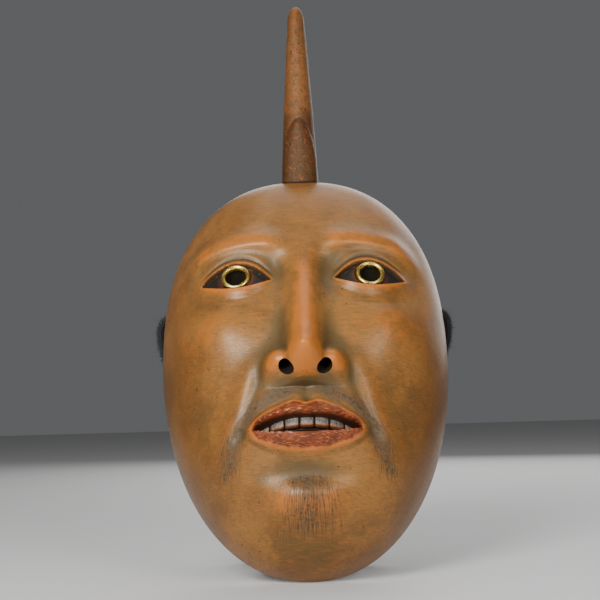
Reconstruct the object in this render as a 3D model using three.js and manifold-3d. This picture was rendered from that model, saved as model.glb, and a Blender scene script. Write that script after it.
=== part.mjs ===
// A noh mask: a carved, hollow wooden face with metal eye rings, a row of upper teeth, wearing pads inside,
// one plug-in horn on the crown, and a braided tying cord through a hole at each ear.
//
// Units are millimetres, +Z up. The mask stands on the chin end of its rear rim and leans back by LEAN.
// Everything on the mask is drawn in the mask's own frame and then leant back as one group:
//   x to the wearer's left (the viewer's right), y backwards, z from the chin to the crown,
//   with the rear rim in the plane y = 0 and its chin end at the origin.
// "Depth" is always the distance in front of the rear rim, so a surface point is (x, -depth, z).
// The two cords are drawn upright, in the frame that has its origin under the chin end on the table.
import * as THREE from "three";
import { mergeVertices } from "three/addons/utils/BufferGeometryUtils.js";
import Module from "manifold-3d";

const wasm = await Module();
wasm.setup();

// ---- driving dimensions -------------------------------------------------------------------------
const LEAN = THREE.MathUtils.degToRad(30);
const MASK_HEIGHT = 212;
const HALF_WIDTH = 69;
const WIDEST_AT = 118; // height of the widest place of the outline
const SHELL_DEPTH = 54; // depth of the plain oval, without the features
const RIM_WIDTH = 8;
const CROWN_RIM_WIDTH = 13; // the rim is wider above, where it holds the horn
const WALL = 5; // least thickness between face and hollow
const GAP = 0.3; // between pieces that touch
const CENTRE_Y = 39.9; // middle of the leaning mask, behind the chin end of the rim

const EYE = { x: 31, z: 128, halfWidth: 16, up: 8.0, down: 6.6, tilt: 0.05 };
const RING = { outer: 6.9, inner: 4.6, thick: 2.3 };
const PUPIL = { before: 3, length: 16, front: 5.5, back: 1.7, drop: 0.45 };
const MOUTH = { z: 50, halfWidth: 25, up: 4.2, down: 4.4 };
const NOSE = { top: 138, tip: 79, base: 67.5, height: 18 };
const NOSTRIL = { x: 8.4, z: 73.4, direction: [0, 0.5, 0.866], before: 8, deep: 9, radius: 3.7 };

const HORN = { length: 95.5, halfWidth: 9.3, halfDepth: 8.7, depth: 27.5, z: 201.9, forward: 28 };
const SPUR = { length: 34.6, halfWidth: 8.9, halfDepth: 5.8, forward: 4.5 };
const TENON = { halfWidth: 5, halfDepth: 4, inHorn: 14, inMask: 14 };

const CORD_DIAMETER = 3.5;
const CORD_HOLE = { x: 67.8, z: 135, depth: 8, radius: 2.6, back: 0.7, down: 0.3 };
const CORD_START = -18; // along the hole from its outer end, where the stopper knot sits in the hollow
const KNOT = { length: 9, radius: 4.2 };
const COIL = { inner: 13.9, outer: 21.3, height: 10.4 };
const COIL_PLACE = { left: [0, 39], right: [0, 82.5] }; // x, y of each coil's middle
const COIL_START = { left: THREE.MathUtils.degToRad(75), right: 0 }; // where the cord joins it and ends in it
const END_KNOT_FROM_MIDDLE = 7.2;

const ROWS = 46;
const FRONT_COLUMNS = 38;
const BACK_COLUMNS = 12;

// ---- small helpers ------------------------------------------------------------------------------
const { abs, cos, exp, max, min, PI, pow, sin, sqrt } = Math;
const clamp = (v, low = 0, high = 1) => min(max(v, low), high);
const smooth = (low, high, v) => {
  const t = clamp((v - low) / (high - low));
  return t * t * (3 - 2 * t);
};
const bump = (d, width) => exp(-((d / width) ** 2));
const spot = (x, z, atX, atZ, wide, tall) => bump(x - atX, wide) * bump(z - atZ, tall);
const blendMax = (a, b, k) => {
  const h = max(k - abs(a - b), 0) / k;
  return max(a, b) + (h * h * k) / 4;
};

// n + 1 numbers from low to high, closer together where density is larger.
function spread(n, low, high, density) {
  const fine = 4000;
  const sums = [0];
  for (let i = 0; i < fine; i++) {
    sums.push(sums[i] + density(low + ((i + 0.5) / fine) * (high - low)));
  }
  const values = [];
  for (let k = 0, i = 0; k <= n; k++) {
    const goal = (k / n) * sums[fine];
    while (i < fine && sums[i + 1] < goal) i++;
    const part = i < fine ? (goal - sums[i]) / (sums[i + 1] - sums[i]) : 0;
    values.push(low + (min(i + part, fine) / fine) * (high - low));
  }
  return values;
}

// ---- outline and depth of the mask --------------------------------------------------------------
const roundness = (z) => 2.1 + 0.25 * smooth(WIDEST_AT - 45, WIDEST_AT + 45, z);

// Half width of an oval that ends at bottom and top and is widest at WIDEST_AT.
function ovalHalfWidth(z, halfWidth, bottom, top) {
  const reach = z > WIDEST_AT ? top - WIDEST_AT : WIDEST_AT - bottom;
  const n = roundness(z);
  return halfWidth * pow(max(1 - pow(abs(z - WIDEST_AT) / reach, n), 0), 1 / n);
}

// 0 in the middle of that oval and 1 on its edge.
function ovalRadius(x, z, halfWidth, bottom, top) {
  const reach = z > WIDEST_AT ? top - WIDEST_AT : WIDEST_AT - bottom;
  const n = roundness(z);
  return pow(pow(abs(x) / halfWidth, n) + pow(abs(z - WIDEST_AT) / reach, n), 1 / n);
}

const dome = (radius) => pow(max(1 - pow(min(radius, 1), 2.5), 0), 1 / 2.3);

// How far a point lies inside the eye opening: 1 in its middle, 0 on its edge, negative outside.
function eyeOpening(x, z) {
  const along = (abs(x) - EYE.x) / EYE.halfWidth;
  const corner = EYE.z - 0.6 + EYE.tilt * (abs(x) - EYE.x);
  const half = z > corner ? EYE.up : EYE.down;
  return 1 - along ** 2 - abs(z - corner) / half;
}

// Heights of the eye opening's upper and lower edge, and how far along the eye x is, from -1 to 1.
function lidEdges(x) {
  const along = (abs(x) - EYE.x) / EYE.halfWidth;
  const corner = EYE.z - 0.6 + EYE.tilt * (abs(x) - EYE.x);
  const arch = 1 - along ** 2;
  return { upper: corner + EYE.up * arch, lower: corner - EYE.down * arch, along };
}

function mouthEdges(x) {
  const arch = max(1 - (x / MOUTH.halfWidth) ** 2, 0);
  const outer = max(1 - (x / (MOUTH.halfWidth + 2.5)) ** 2, 0);
  const bow = 1.0 * bump(abs(x) - 6, 4) - 1.1 * bump(x, 3);
  return {
    top: MOUTH.z + MOUTH.up * pow(arch, 0.7) - 0.5 * bump(x, 4),
    bottom: MOUTH.z - MOUTH.down * pow(arch, 0.8),
    lipTop: MOUTH.z + 9.6 * pow(outer, 0.85) + bow * outer,
    lipBottom: MOUTH.z - 11.6 * pow(outer, 0.75),
  };
}

function eyeDepth(x, z) {
  const side = abs(x);
  const { upper, lower, along } = lidEdges(x);
  const ball = pow(max(1 - ((side - EYE.x) / 23) ** 2 - ((z - EYE.z) / 17) ** 2, 0), 1.8);
  const ends = smooth(1.15, 0.75, abs(along));
  let depth = 8 * ball - 6.5 * spot(side, z, 29, 130, 19, 12) - 2.2 * spot(side, z, 14, 131, 6, 9);
  depth += 0.7 * bump(eyeOpening(x, z) + 0.13, 0.11) * smooth(1.25, 0.9, abs(along)); // rims of the lids
  depth -= 1.0 * bump(z - upper - 4.6, 1.2) * ends; // crease of the upper lid
  return depth - 0.5 * bump(z - lower + 5, 1.8) * ends;
}

function noseDepth(x, z) {
  const along = clamp((NOSE.top - z) / (NOSE.top - NOSE.tip));
  const under = clamp((NOSE.tip - z) / (NOSE.tip - NOSE.base));
  const below = pow(1 - under ** 2, 0.9);
  const ridge = (2.5 + (NOSE.height - 2.5) * pow(along, 1.3)) * smooth(156, 132, z);
  const bridge = ridge * exp(-pow(abs(x) / (7.5 + 3 * along ** 2), 2.2));
  const tip = 3.4 * spot(x, z, 0, NOSE.tip + 1, 8, 8);
  const fromWing = ((abs(x) - 11.2) / 7.8) ** 2 + ((z - 77) / 8.6) ** 2;
  const wing = 10.8 * exp(-pow(fromWing, 1.25));
  return blendMax((bridge + tip) * below, wing * below, 5);
}

function lipDepth(x, z) {
  const edge = mouthEdges(x);
  const wide = smooth(MOUTH.halfWidth + 2.5, MOUTH.halfWidth - 4, abs(x));
  const upper = clamp((z - edge.top) / max(edge.lipTop - edge.top, 0.5));
  const lower = clamp((edge.bottom - z) / max(edge.bottom - edge.lipBottom, 0.5));
  const inside = min(edge.top - z, z - edge.bottom);
  const border = min(edge.lipTop - z, z - edge.lipBottom);
  let depth = 0.7 * bump(border, 0.9);
  if (z > edge.top) depth += 2.6 * pow(max(1 - upper ** 2, 0), 0.8) * smooth(0, 0.25, upper + 0.1);
  if (z < edge.bottom) depth += 3.6 * pow(max(1 - lower ** 2, 0), 0.8) * smooth(0, 0.25, lower + 0.1);
  if (inside > 0) depth += 1.2 - 7.5 * smooth(0, 1.8, inside);
  return depth * wide;
}

function featureDepth(x, z) {
  const side = abs(x);
  const brow = 146 + 3 * (1 - ((side - 30) / 22) ** 2);
  const foldX = 17.5 + 14 * pow(clamp((84 - z) / 38), 1.2);
  const fold = smooth(40, 54, z) * smooth(88, 78, z);
  let depth = 2 * spot(x, z, 0, 178, 36, 20); // forehead
  depth += 3 * bump(z - brow, 7) * smooth(4, 18, side) * smooth(62, 44, side);
  depth += 0.7 * bump(z - brow + 3.5, 1.8) * smooth(8, 20, side) * smooth(58, 44, side);
  depth -= 2.6 * spot(side, z, 58, 152, 10, 18); // temples
  depth += 3.8 * spot(side, z, 41, 100, 16, 15); // cheeks
  depth -= 2.5 * spot(side, z, 46, 62, 15, 20);
  depth += 5.5 * spot(x, z, 0, 51, 25, 18); // round of the mouth
  depth -= 0.9 * bump(side - foldX, 3.2) * fold; // fold from nose to mouth
  depth += 0.7 * bump(side - foldX - 5.5, 5) * fold;
  depth -= 1.0 * bump(x, 2.6) * smooth(58, 62, z) * smooth(71, 66, z); // groove under the nose
  depth -= 3.2 * spot(x, z, 0, 32, 17, 5.5); // hollow under the lip
  depth += 6 * spot(x, z, 0, 17, 18, 12); // chin
  depth -= 1.3 * spot(side, z, 28.5, 49.5, 3.5, 4); // corners of the mouth
  return depth + eyeDepth(x, z) + noseDepth(x, z) + lipDepth(x, z);
}

function frontDepth(x, z) {
  const radius = ovalRadius(x, z, HALF_WIDTH, 0, MASK_HEIGHT);
  const recess = 2.1 * smooth(-0.06, 0.1, eyeOpening(x, z));
  return SHELL_DEPTH * dome(radius) + (featureDepth(x, z) - recess) * smooth(0.99, 0.8, radius);
}

const HOLLOW = { halfWidth: HALF_WIDTH - RIM_WIDTH, bottom: RIM_WIDTH, top: MASK_HEIGHT - CROWN_RIM_WIDTH };

function backDepth(x, z) {
  const radius = ovalRadius(x, z, HOLLOW.halfWidth, HOLLOW.bottom, HOLLOW.top);
  const inner = smooth(0.99, 0.75, radius);
  const hollow =
    (SHELL_DEPTH - 7.5) * dome(radius) +
    inner * (13 * spot(x, z, 0, 88, 12, 24) + 5 * spot(x, z, 0, 50, 27, 18) + 3 * spot(x, z, 0, 17, 16, 12));
  return max(min(hollow, frontDepth(x, z) - WALL), 0);
}

// ---- geometry and solids ------------------------------------------------------------------------
function geometryOf(points, triangles) {
  const g = new THREE.BufferGeometry();
  g.setAttribute("position", new THREE.Float32BufferAttribute(points.flat(), 3));
  g.setIndex(triangles.flat());
  return g;
}

// A closed solid from two grids of points with the same rows: "front" faces -y and "back" faces +y.
// Their side edges are joined, and each end is closed by a fan at the two end points.
function closedFromGrids(front, back, firstPoint, lastPoint) {
  const rows = front.length;
  const wide = front[0].length;
  const backWide = back[0].length;
  const points = [...front.flat(), ...back.flat(), firstPoint, lastPoint];
  const f = (r, c) => r * wide + c;
  const b = (r, c) => rows * wide + r * backWide + c;
  const first = points.length - 2;
  const last = points.length - 1;
  const triangles = [];
  const quad = (p, q, r, s) => triangles.push([p, q, r], [p, r, s]);
  for (let r = 0; r < rows - 1; r++) {
    for (let c = 0; c < wide - 1; c++) quad(f(r, c), f(r, c + 1), f(r + 1, c + 1), f(r + 1, c));
    for (let c = 0; c < backWide - 1; c++) quad(b(r, c), b(r + 1, c), b(r + 1, c + 1), b(r, c + 1));
    quad(f(r, 0), f(r + 1, 0), b(r + 1, 0), b(r, 0));
    quad(f(r, wide - 1), b(r, backWide - 1), b(r + 1, backWide - 1), f(r + 1, wide - 1));
  }
  const loop = (r) => [
    ...Array.from({ length: wide }, (_, c) => f(r, c)),
    ...Array.from({ length: backWide }, (_, c) => b(r, backWide - 1 - c)),
  ];
  const bottomLoop = loop(0);
  const topLoop = loop(rows - 1);
  bottomLoop.forEach((v, i) => triangles.push([first, bottomLoop[(i + 1) % bottomLoop.length], v]));
  topLoop.forEach((v, i) => triangles.push([last, v, topLoop[(i + 1) % topLoop.length]]));
  return geometryOf(points, triangles);
}

function solidOf(geometry) {
  const bare = geometry.index ? geometry.toNonIndexed() : geometry.clone();
  bare.deleteAttribute("normal");
  bare.deleteAttribute("uv");
  const merged = mergeVertices(bare, 1e-3);
  return new wasm.Manifold(
    new wasm.Mesh({
      numProp: 3,
      vertProperties: merged.attributes.position.array,
      triVerts: new Uint32Array(merged.index.array),
    }),
  );
}

function geometryFromSolid(solid) {
  const mesh = solid.getMesh();
  const points = new THREE.BufferGeometry();
  points.setAttribute("position", new THREE.BufferAttribute(new Float32Array(mesh.vertProperties), 3));
  points.setIndex(new THREE.BufferAttribute(new Uint32Array(mesh.triVerts), 1));
  return points;
}

function namedMesh(name, geometry, colour, roughness, metalness = 0) {
  geometry.computeVertexNormals();
  const material = new THREE.MeshStandardMaterial({ color: colour, roughness, metalness, flatShading: true });
  const mesh = new THREE.Mesh(geometry, material);
  mesh.name = name;
  return mesh;
}

const COLOURS = {
  painted_wood: "#9c6a38",
  teeth: "#7d746b",
  brass: "#b59a52",
  bare_wood: "#a98a5c",
  cord: "#14161a",
  pad: "#b9a888",
};

// ---- mask shell ---------------------------------------------------------------------------------
function shellBlank() {
  const rowDensity = (z) =>
    1 + 2.6 * bump(z - 72, 6) + 1.5 * bump(z - 50, 12) + 1.0 * bump(z - 128, 12) +
    5 * exp(-z / 2.5) + 5 * exp((z - MASK_HEIGHT) / 2.5);
  const columnDensity = (s) => 1 + 0.6 * bump(s, 0.45) + 3 * bump(abs(s) - 1, 0.05);
  const heights = spread(ROWS + 2, 0, MASK_HEIGHT, rowDensity).slice(1, -1);
  const across = spread(FRONT_COLUMNS, -1, 1, columnDensity);
  const hollowAcross = spread(BACK_COLUMNS, -1, 1, (s) => 1 + 1.5 * bump(abs(s) - 1, 0.12));
  const front = heights.map((z) =>
    across.map((s) => {
      const x = s * ovalHalfWidth(z, HALF_WIDTH, 0, MASK_HEIGHT);
      return [x, abs(s) > 0.9999 ? 0 : -frontDepth(x, z), z];
    }),
  );
  const back = heights.map((z) => {
    const share = (z - heights[0]) / (heights[heights.length - 1] - heights[0]);
    const high = HOLLOW.bottom + 0.4 + (HOLLOW.top - HOLLOW.bottom - 0.8) * share;
    return hollowAcross.map((s) => {
      const x = s * ovalHalfWidth(high, HOLLOW.halfWidth, HOLLOW.bottom, HOLLOW.top);
      return [x, abs(s) > 0.9999 ? 0 : -backDepth(x, high), high];
    });
  });
  return { front, back };
}

// The shell's rim: the front grid closes onto the outer oval and the back grid onto the hollow's oval.
function blankGeometry() {
  const { front, back } = shellBlank();
  const wide = front[0].length;
  const backWide = back[0].length;
  const points = [...front.flat(), ...back.flat()];
  const rows = front.length;
  const f = (r, c) => r * wide + c;
  const b = (r, c) => rows * wide + r * backWide + c;
  const chinEnd = points.push([0, 0, 0]) - 1;
  const crownEnd = points.push([0, 0, MASK_HEIGHT]) - 1;
  const hollowChin = points.push([0, 0, HOLLOW.bottom]) - 1;
  const hollowCrown = points.push([0, 0, HOLLOW.top]) - 1;
  const triangles = [];
  const quad = (p, q, r, s) => triangles.push([p, q, r], [p, r, s]);
  const mirroredQuad = (p, q, r, s) => triangles.push([p, q, s], [q, r, s]);
  for (let r = 0; r < rows - 1; r++) {
    for (let c = 0; c < wide - 1; c++) {
      const faces = c < (wide - 1) / 2 ? quad : mirroredQuad;
      faces(f(r, c), f(r, c + 1), f(r + 1, c + 1), f(r + 1, c));
    }
    for (let c = 0; c < backWide - 1; c++) quad(b(r, c), b(r + 1, c), b(r + 1, c + 1), b(r, c + 1));
    quad(f(r, 0), f(r + 1, 0), b(r + 1, 0), b(r, 0));
    quad(f(r, wide - 1), b(r, backWide - 1), b(r + 1, backWide - 1), f(r + 1, wide - 1));
  }
  for (let c = 0; c < wide - 1; c++) {
    triangles.push([chinEnd, f(0, c + 1), f(0, c)], [crownEnd, f(rows - 1, c), f(rows - 1, c + 1)]);
  }
  for (let c = 0; c < backWide - 1; c++) {
    triangles.push([hollowChin, b(0, c), b(0, c + 1)], [hollowCrown, b(rows - 1, c + 1), b(rows - 1, c)]);
  }
  quad(chinEnd, f(0, 0), b(0, 0), hollowChin);
  quad(chinEnd, hollowChin, b(0, backWide - 1), f(0, wide - 1));
  quad(crownEnd, hollowCrown, b(rows - 1, 0), f(rows - 1, 0));
  quad(crownEnd, f(rows - 1, wide - 1), b(rows - 1, backWide - 1), hollowCrown);
  return geometryOf(points, triangles);
}

// A cylinder (or cone) whose axis starts at "from" and runs along "direction".
function rod(from, direction, length, radius, endRadius = radius, sides = 20) {
  const g = new THREE.CylinderGeometry(endRadius, radius, length, sides);
  g.translate(0, length / 2, 0);
  const turn = new THREE.Quaternion().setFromUnitVectors(new THREE.Vector3(0, 1, 0), direction.clone().normalize());
  return g.applyQuaternion(turn).translate(from.x, from.y, from.z);
}


// Direction that the front surface faces at (x, z).
function frontNormal(x, z) {
  const d = 1.5;
  const slopeX = (frontDepth(x + d, z) - frontDepth(x - d, z)) / (2 * d);
  const slopeZ = (frontDepth(x, z + d) - frontDepth(x, z - d)) / (2 * d);
  return new THREE.Vector3(-slopeX, -1, -slopeZ).normalize();
}

// The flat seat of an eye ring: its middle and the way it faces.
function ringSeat(side) {
  const x = side * EYE.x;
  const facing = frontNormal(x, EYE.z).multiplyScalar(0.4).add(new THREE.Vector3(0, -0.6, -0.06)).normalize();
  const middle = new THREE.Vector3(x, -frontDepth(x, EYE.z), EYE.z);
  return { facing, middle: middle.addScaledVector(facing, -0.9) };
}

// The slot through the wall at the bottom of the open mouth, running backwards and down.
function mouthCutter() {
  const slot = { halfWidth: MOUTH.halfWidth - 5, height: 3, slope: THREE.MathUtils.degToRad(25) };
  const g = new THREE.BoxGeometry(2 * slot.halfWidth, 40, slot.height);
  g.translate(0, 20, 0).rotateX(-slot.slope);
  return g.translate(0, -frontDepth(0, MOUTH.z - 1.6) - 1, MOUTH.z - 1.6);
}

const nostril = (side) => {
  const direction = new THREE.Vector3(...NOSTRIL.direction);
  const x = side * NOSTRIL.x;
  const from = new THREE.Vector3(x, -frontDepth(x, NOSTRIL.z), NOSTRIL.z);
  from.addScaledVector(direction, -NOSTRIL.before);
  return rod(from, direction, NOSTRIL.before + NOSTRIL.deep, NOSTRIL.radius, 3);
};

// The ear hole runs outwards, a little back and down; it leaves the wall at holePoint(side, 0).
const holeDirection = (side) => new THREE.Vector3(side, CORD_HOLE.back, -CORD_HOLE.down).normalize();
const holePoint = (side, along) =>
  new THREE.Vector3(side * CORD_HOLE.x, -CORD_HOLE.depth, CORD_HOLE.z).addScaledVector(holeDirection(side), along);

const cordHole = (side) =>
  rod(holePoint(side, -22), holeDirection(side), 36, CORD_HOLE.radius);

// A pupil hole narrows inwards and drops towards the wearer's own eye.
const pupilHole = (middle, facing) => {
  const inwards = facing.clone().negate().add(new THREE.Vector3(0, 0, -PUPIL.drop)).normalize();
  const start = middle.clone().addScaledVector(inwards, -PUPIL.before);
  return rod(start, inwards, PUPIL.length, PUPIL.front, PUPIL.back);
};

function maskShell() {
  let shell = solidOf(blankGeometry());
  const cut = (geometry) => {
    shell = shell.subtract(solidOf(geometry));
  };
  for (const side of [-1, 1]) {
    const { facing, middle } = ringSeat(side);
    cut(rod(middle, facing, 6, RING.outer + GAP));
    cut(pupilHole(middle, facing));
    cut(nostril(side));
    cut(cordHole(side));
  }
  cut(mouthCutter());
  cut(teethStrip(GAP));
  cut(tenonBar(HORN_SEAT, -TENON.inMask - 12, 12, GAP));
  cut(hornFoot());
  return namedMesh("mask_shell", geometryFromSolid(shell), COLOURS.painted_wood, 0.45);
}

// ---- teeth --------------------------------------------------------------------------------------
const TEETH = { halfWidth: 22.5, bottom: 49.4, top: 58, thick: 3, middleDepth: 53.2, fallBack: 9.5 };

// An arched strip behind the upper lip; "grow" makes it larger all round.
function teethStrip(grow = 0) {
  const depthAt = (x) => TEETH.middleDepth - TEETH.fallBack * (x / TEETH.halfWidth) ** 2;
  const halfWidth = TEETH.halfWidth + grow;
  const outline = [];
  for (let i = -8; i <= 8; i++) {
    const x = (i / 8) * halfWidth;
    outline.push(new THREE.Vector2(x, -depthAt(x) - grow));
  }
  for (let i = 8; i >= -8; i--) {
    const x = (i / 8) * halfWidth;
    outline.push(new THREE.Vector2(x, -depthAt(x) + TEETH.thick + grow));
  }
  const height = TEETH.top - TEETH.bottom + 2 * grow;
  const g = new THREE.ExtrudeGeometry(new THREE.Shape(outline), { depth: height, bevelEnabled: false, steps: 1 });
  return g.translate(0, 0, TEETH.bottom - grow);
}

// ---- eye rings ----------------------------------------------------------------------------------
function eyeRing(side) {
  const { facing, middle } = ringSeat(side);
  const half = (RING.outer - RING.inner) / 2;
  const profile = [new THREE.Vector2(RING.outer, 0)];
  for (let i = 0; i <= 6; i++) {
    const turn = (i / 6) * PI;
    profile.push(new THREE.Vector2(RING.inner + half + half * cos(turn), 0.5 + (RING.thick - 0.5) * sin(turn)));
  }
  profile.push(new THREE.Vector2(RING.inner, 0), new THREE.Vector2(RING.outer, 0));
  const g = new THREE.LatheGeometry(profile, 24);
  const turn = new THREE.Quaternion().setFromUnitVectors(new THREE.Vector3(0, 1, 0), facing);
  const foot = middle.clone().addScaledVector(facing, GAP);
  g.applyQuaternion(turn).translate(foot.x, foot.y, foot.z);
  return namedMesh(sideName(side) + "_eye_ring", g, COLOURS.brass, 0.3, 1);
}

// ---- horn ---------------------------------------------------------------------------------------
// The horn's own frame: its foot on the crown, its axis leaning forward of the mask's z.
const HORN_SEAT = new THREE.Matrix4()
  .makeRotationX(THREE.MathUtils.degToRad(HORN.forward))
  .setPosition(0, -HORN.depth, HORN.z);

// A tapering bar with oval sections and a round tip. "shape" gives each height's half sizes and offset.
function taperedBar(length, shape, rings = 14, sides = 18) {
  const points = [];
  const triangles = [];
  for (let r = 0; r < rings; r++) {
    const share = 1 - (1 - r / rings) ** 1.5;
    const { halfWidth, halfDepth, y } = shape(share);
    for (let s = 0; s < sides; s++) {
      const a = (s / sides) * 2 * PI;
      points.push([halfWidth * cos(a), y + halfDepth * sin(a), share * length]);
    }
  }
  const foot = points.push([0, shape(0).y, 0]) - 1;
  const tip = points.push([0, shape(1).y, length]) - 1;
  for (let s = 0; s < sides; s++) {
    const next = (s + 1) % sides;
    for (let r = 0; r < rings - 1; r++) {
      const a = r * sides + s;
      const b = r * sides + next;
      triangles.push([a, b, b + sides], [a, b + sides, a + sides]);
    }
    triangles.push([foot, next, s], [tip, (rings - 1) * sides + s, (rings - 1) * sides + next]);
  }
  return geometryOf(points, triangles);
}

// 1 along the bar, falling in a quarter circle to 0 at its tip.
const roundTip = (share, from) => sqrt(max(1 - clamp((share - from) / (1 - from)) ** 2, 0.0004));

const hornShape = (share) => ({
  halfWidth: HORN.halfWidth * (1 - 0.59 * pow(share, 1.2)) * roundTip(share, 0.925),
  halfDepth: HORN.halfDepth * (1 - 0.54 * pow(share, 1.2)) * roundTip(share, 0.925),
  y: 3 * share ** 2,
});

const spurShape = (share) => ({
  halfWidth: SPUR.halfWidth * (1 - 0.12 * share) * roundTip(share, 0.3),
  halfDepth: SPUR.halfDepth * (1 - 0.06 * share) * roundTip(share, 0.86),
  y: -SPUR.forward + 0.4 * share,
});

// The square tenon that holds the horn, from "low" to "high" along the horn's axis.
function tenonBar(placement, low, high, grow = 0) {
  const g = new THREE.BoxGeometry(2 * (TENON.halfWidth + grow), 2 * (TENON.halfDepth + grow), high - low);
  return g.translate(0, 0, (high + low) / 2).applyMatrix4(placement);
}

// The flat that the horn stands on, cut into the crown.
function hornFoot() {
  const g = new THREE.CylinderGeometry(13.5, 13.5, 20, 28);
  return g.rotateX(PI / 2).scale(1, 0.94, 1).translate(0, -1, 10 - GAP).applyMatrix4(HORN_SEAT);
}

function horn() {
  const main = solidOf(taperedBar(HORN.length, hornShape).applyMatrix4(HORN_SEAT));
  const spur = solidOf(taperedBar(SPUR.length, spurShape, 10).applyMatrix4(HORN_SEAT));
  const socket = solidOf(tenonBar(HORN_SEAT, -5, TENON.inHorn + GAP, GAP));
  return namedMesh("horn", geometryFromSolid(main.add(spur).subtract(socket)), COLOURS.painted_wood, 0.4);
}

const hornTenon = () =>
  namedMesh("horn_tenon", tenonBar(HORN_SEAT, -TENON.inMask, TENON.inHorn), COLOURS.bare_wood, 0.6);

// ---- wearing pads -------------------------------------------------------------------------------
const PADS = [
  { name: "forehead_pad", x: 0, z: 170, halfWidth: 30, halfHeight: 10, thick: 8 },
  { name: "right_cheek_pad", x: -37, z: 84, halfWidth: 10, halfHeight: 14, thick: 7 },
  { name: "left_cheek_pad", x: 37, z: 84, halfWidth: 10, halfHeight: 14, thick: 7 },
];

// A small pillow that lies on the hollow's surface.
function wearingPad({ name, x, z, halfWidth, halfHeight, thick }) {
  const across = 8;
  const up = 6;
  const onWall = [];
  const free = [];
  for (let r = 0; r <= up; r++) {
    const v = -0.96 + (1.92 * r) / up;
    const wallRow = [];
    const freeRow = [];
    for (let c = 0; c <= across; c++) {
      const u = -1 + (2 * c) / across;
      const px = x + u * halfWidth * pow(1 - pow(abs(v), 4), 0.25);
      const pz = z + v * halfHeight;
      const pillow = pow(max((1 - u ** 4) * (1 - v ** 4), 0), 0.4);
      const wall = -backDepth(px, pz) + 1.6;
      wallRow.push([px, wall, pz]);
      freeRow.push([px, wall + 0.8 + thick * pillow, pz]);
    }
    onWall.push(wallRow);
    free.push(freeRow);
  }
  const middle = (grid, r) => grid[r][across / 2];
  const end = (r, dz) => {
    const a = middle(onWall, r);
    const b = middle(free, r);
    return [x, (a[1] + b[1]) / 2, a[2] + dz];
  };
  return namedMesh(name, closedFromGrids(onWall, free, end(0, -0.4), end(up, 0.4)), COLOURS.pad, 0.9);
}

// ---- cords --------------------------------------------------------------------------------------
// Each cord, upright, in x, y, z (x is mirrored for the wearer's right). It bends round the rim, hangs
// inwards behind the mask, and runs along the table to the outside of its coil.
const ROUND_THE_RIM = [
  [69.8, 61.6, 119.4],
  [71.0, 62.9, 116.6],
  [71.4, 64.3, 112.8],
  [71.1, 65.6, 108.2],
  [69.6, 66.4, 102.5],
  [67.0, 66.6, 96],
  [64.0, 66.0, 88.5],
];
const TO_THE_COIL = {
  left: [
    [60.0, 63.8, 74],
    [56.2, 61.2, 60],
    [51.6, 58.0, 46],
    [46.6, 54.8, 33],
    [41.0, 52.0, 21.5],
    [35.2, 50.6, 12],
    [29.0, 50.9, 5.6],
    [23.6, 52.3, 2.5],
  ],
  right: [
    [60.2, 66.2, 74],
    [56.2, 67.0, 60],
    [51.2, 67.9, 46],
    [45.6, 69.0, 33],
    [39.8, 70.2, 21.5],
    [34.0, 71.4, 12],
    [28.4, 73.2, 5.4],
    [24.9, 75.0, 2.9],
  ],
};

const sideName = (side) => (side < 0 ? "right" : "left");
const sided = (point, side) => new THREE.Vector3(side * point[0], point[1], point[2]);

// A point on the axis of the ear hole, in the upright frame.
const uprightHolePoint = (side, along) => holePoint(side, along).applyAxisAngle(new THREE.Vector3(1, 0, 0), -LEAN);

function cordTube(side) {
  const start = [CORD_START, CORD_START / 2, 0].map((along) => uprightHolePoint(side, along));
  const hanging = [...ROUND_THE_RIM, ...TO_THE_COIL[sideName(side)]];
  const route = [...start, ...hanging.map((p) => sided(p, side))];
  const curve = new THREE.CatmullRomCurve3(route, false, "centripetal");
  const section = new THREE.Shape(
    Array.from({ length: 8 }, (_, i) => {
      const a = ((i + 0.5) / 8) * 2 * PI;
      return new THREE.Vector2((CORD_DIAMETER / 2) * cos(a), (CORD_DIAMETER / 2) * sin(a));
    }),
  );
  return new THREE.ExtrudeGeometry(section, { extrudePath: curve, steps: 36, bevelEnabled: false });
}

// A barrel turned round the line from "from" along "direction".
function barrel(from, direction, length, radius, sides = 12) {
  const profile = [new THREE.Vector2(0, 0)];
  for (let i = 0; i <= 6; i++) {
    const t = i / 6;
    profile.push(new THREE.Vector2(radius * (0.55 + 0.45 * sin(PI * t)), length * t));
  }
  profile.push(new THREE.Vector2(0, length));
  const turn = new THREE.Quaternion().setFromUnitVectors(new THREE.Vector3(0, 1, 0), direction.clone().normalize());
  return new THREE.LatheGeometry(profile, sides).applyQuaternion(turn).translate(from.x, from.y, from.z);
}

function coilRing(side) {
  const chamfer = 1.6;
  const profile = [
    [COIL.inner + chamfer, 0],
    [COIL.outer - chamfer, 0],
    [COIL.outer, chamfer],
    [COIL.outer, COIL.height - chamfer],
    [COIL.outer - chamfer, COIL.height],
    [COIL.inner + chamfer, COIL.height],
    [COIL.inner, COIL.height - chamfer],
    [COIL.inner, chamfer],
    [COIL.inner + chamfer, 0],
  ].map(([r, h]) => new THREE.Vector2(r, h));
  return new THREE.LatheGeometry(profile, 28).rotateX(PI / 2).translate(...COIL_PLACE[sideName(side)], 0);
}

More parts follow.
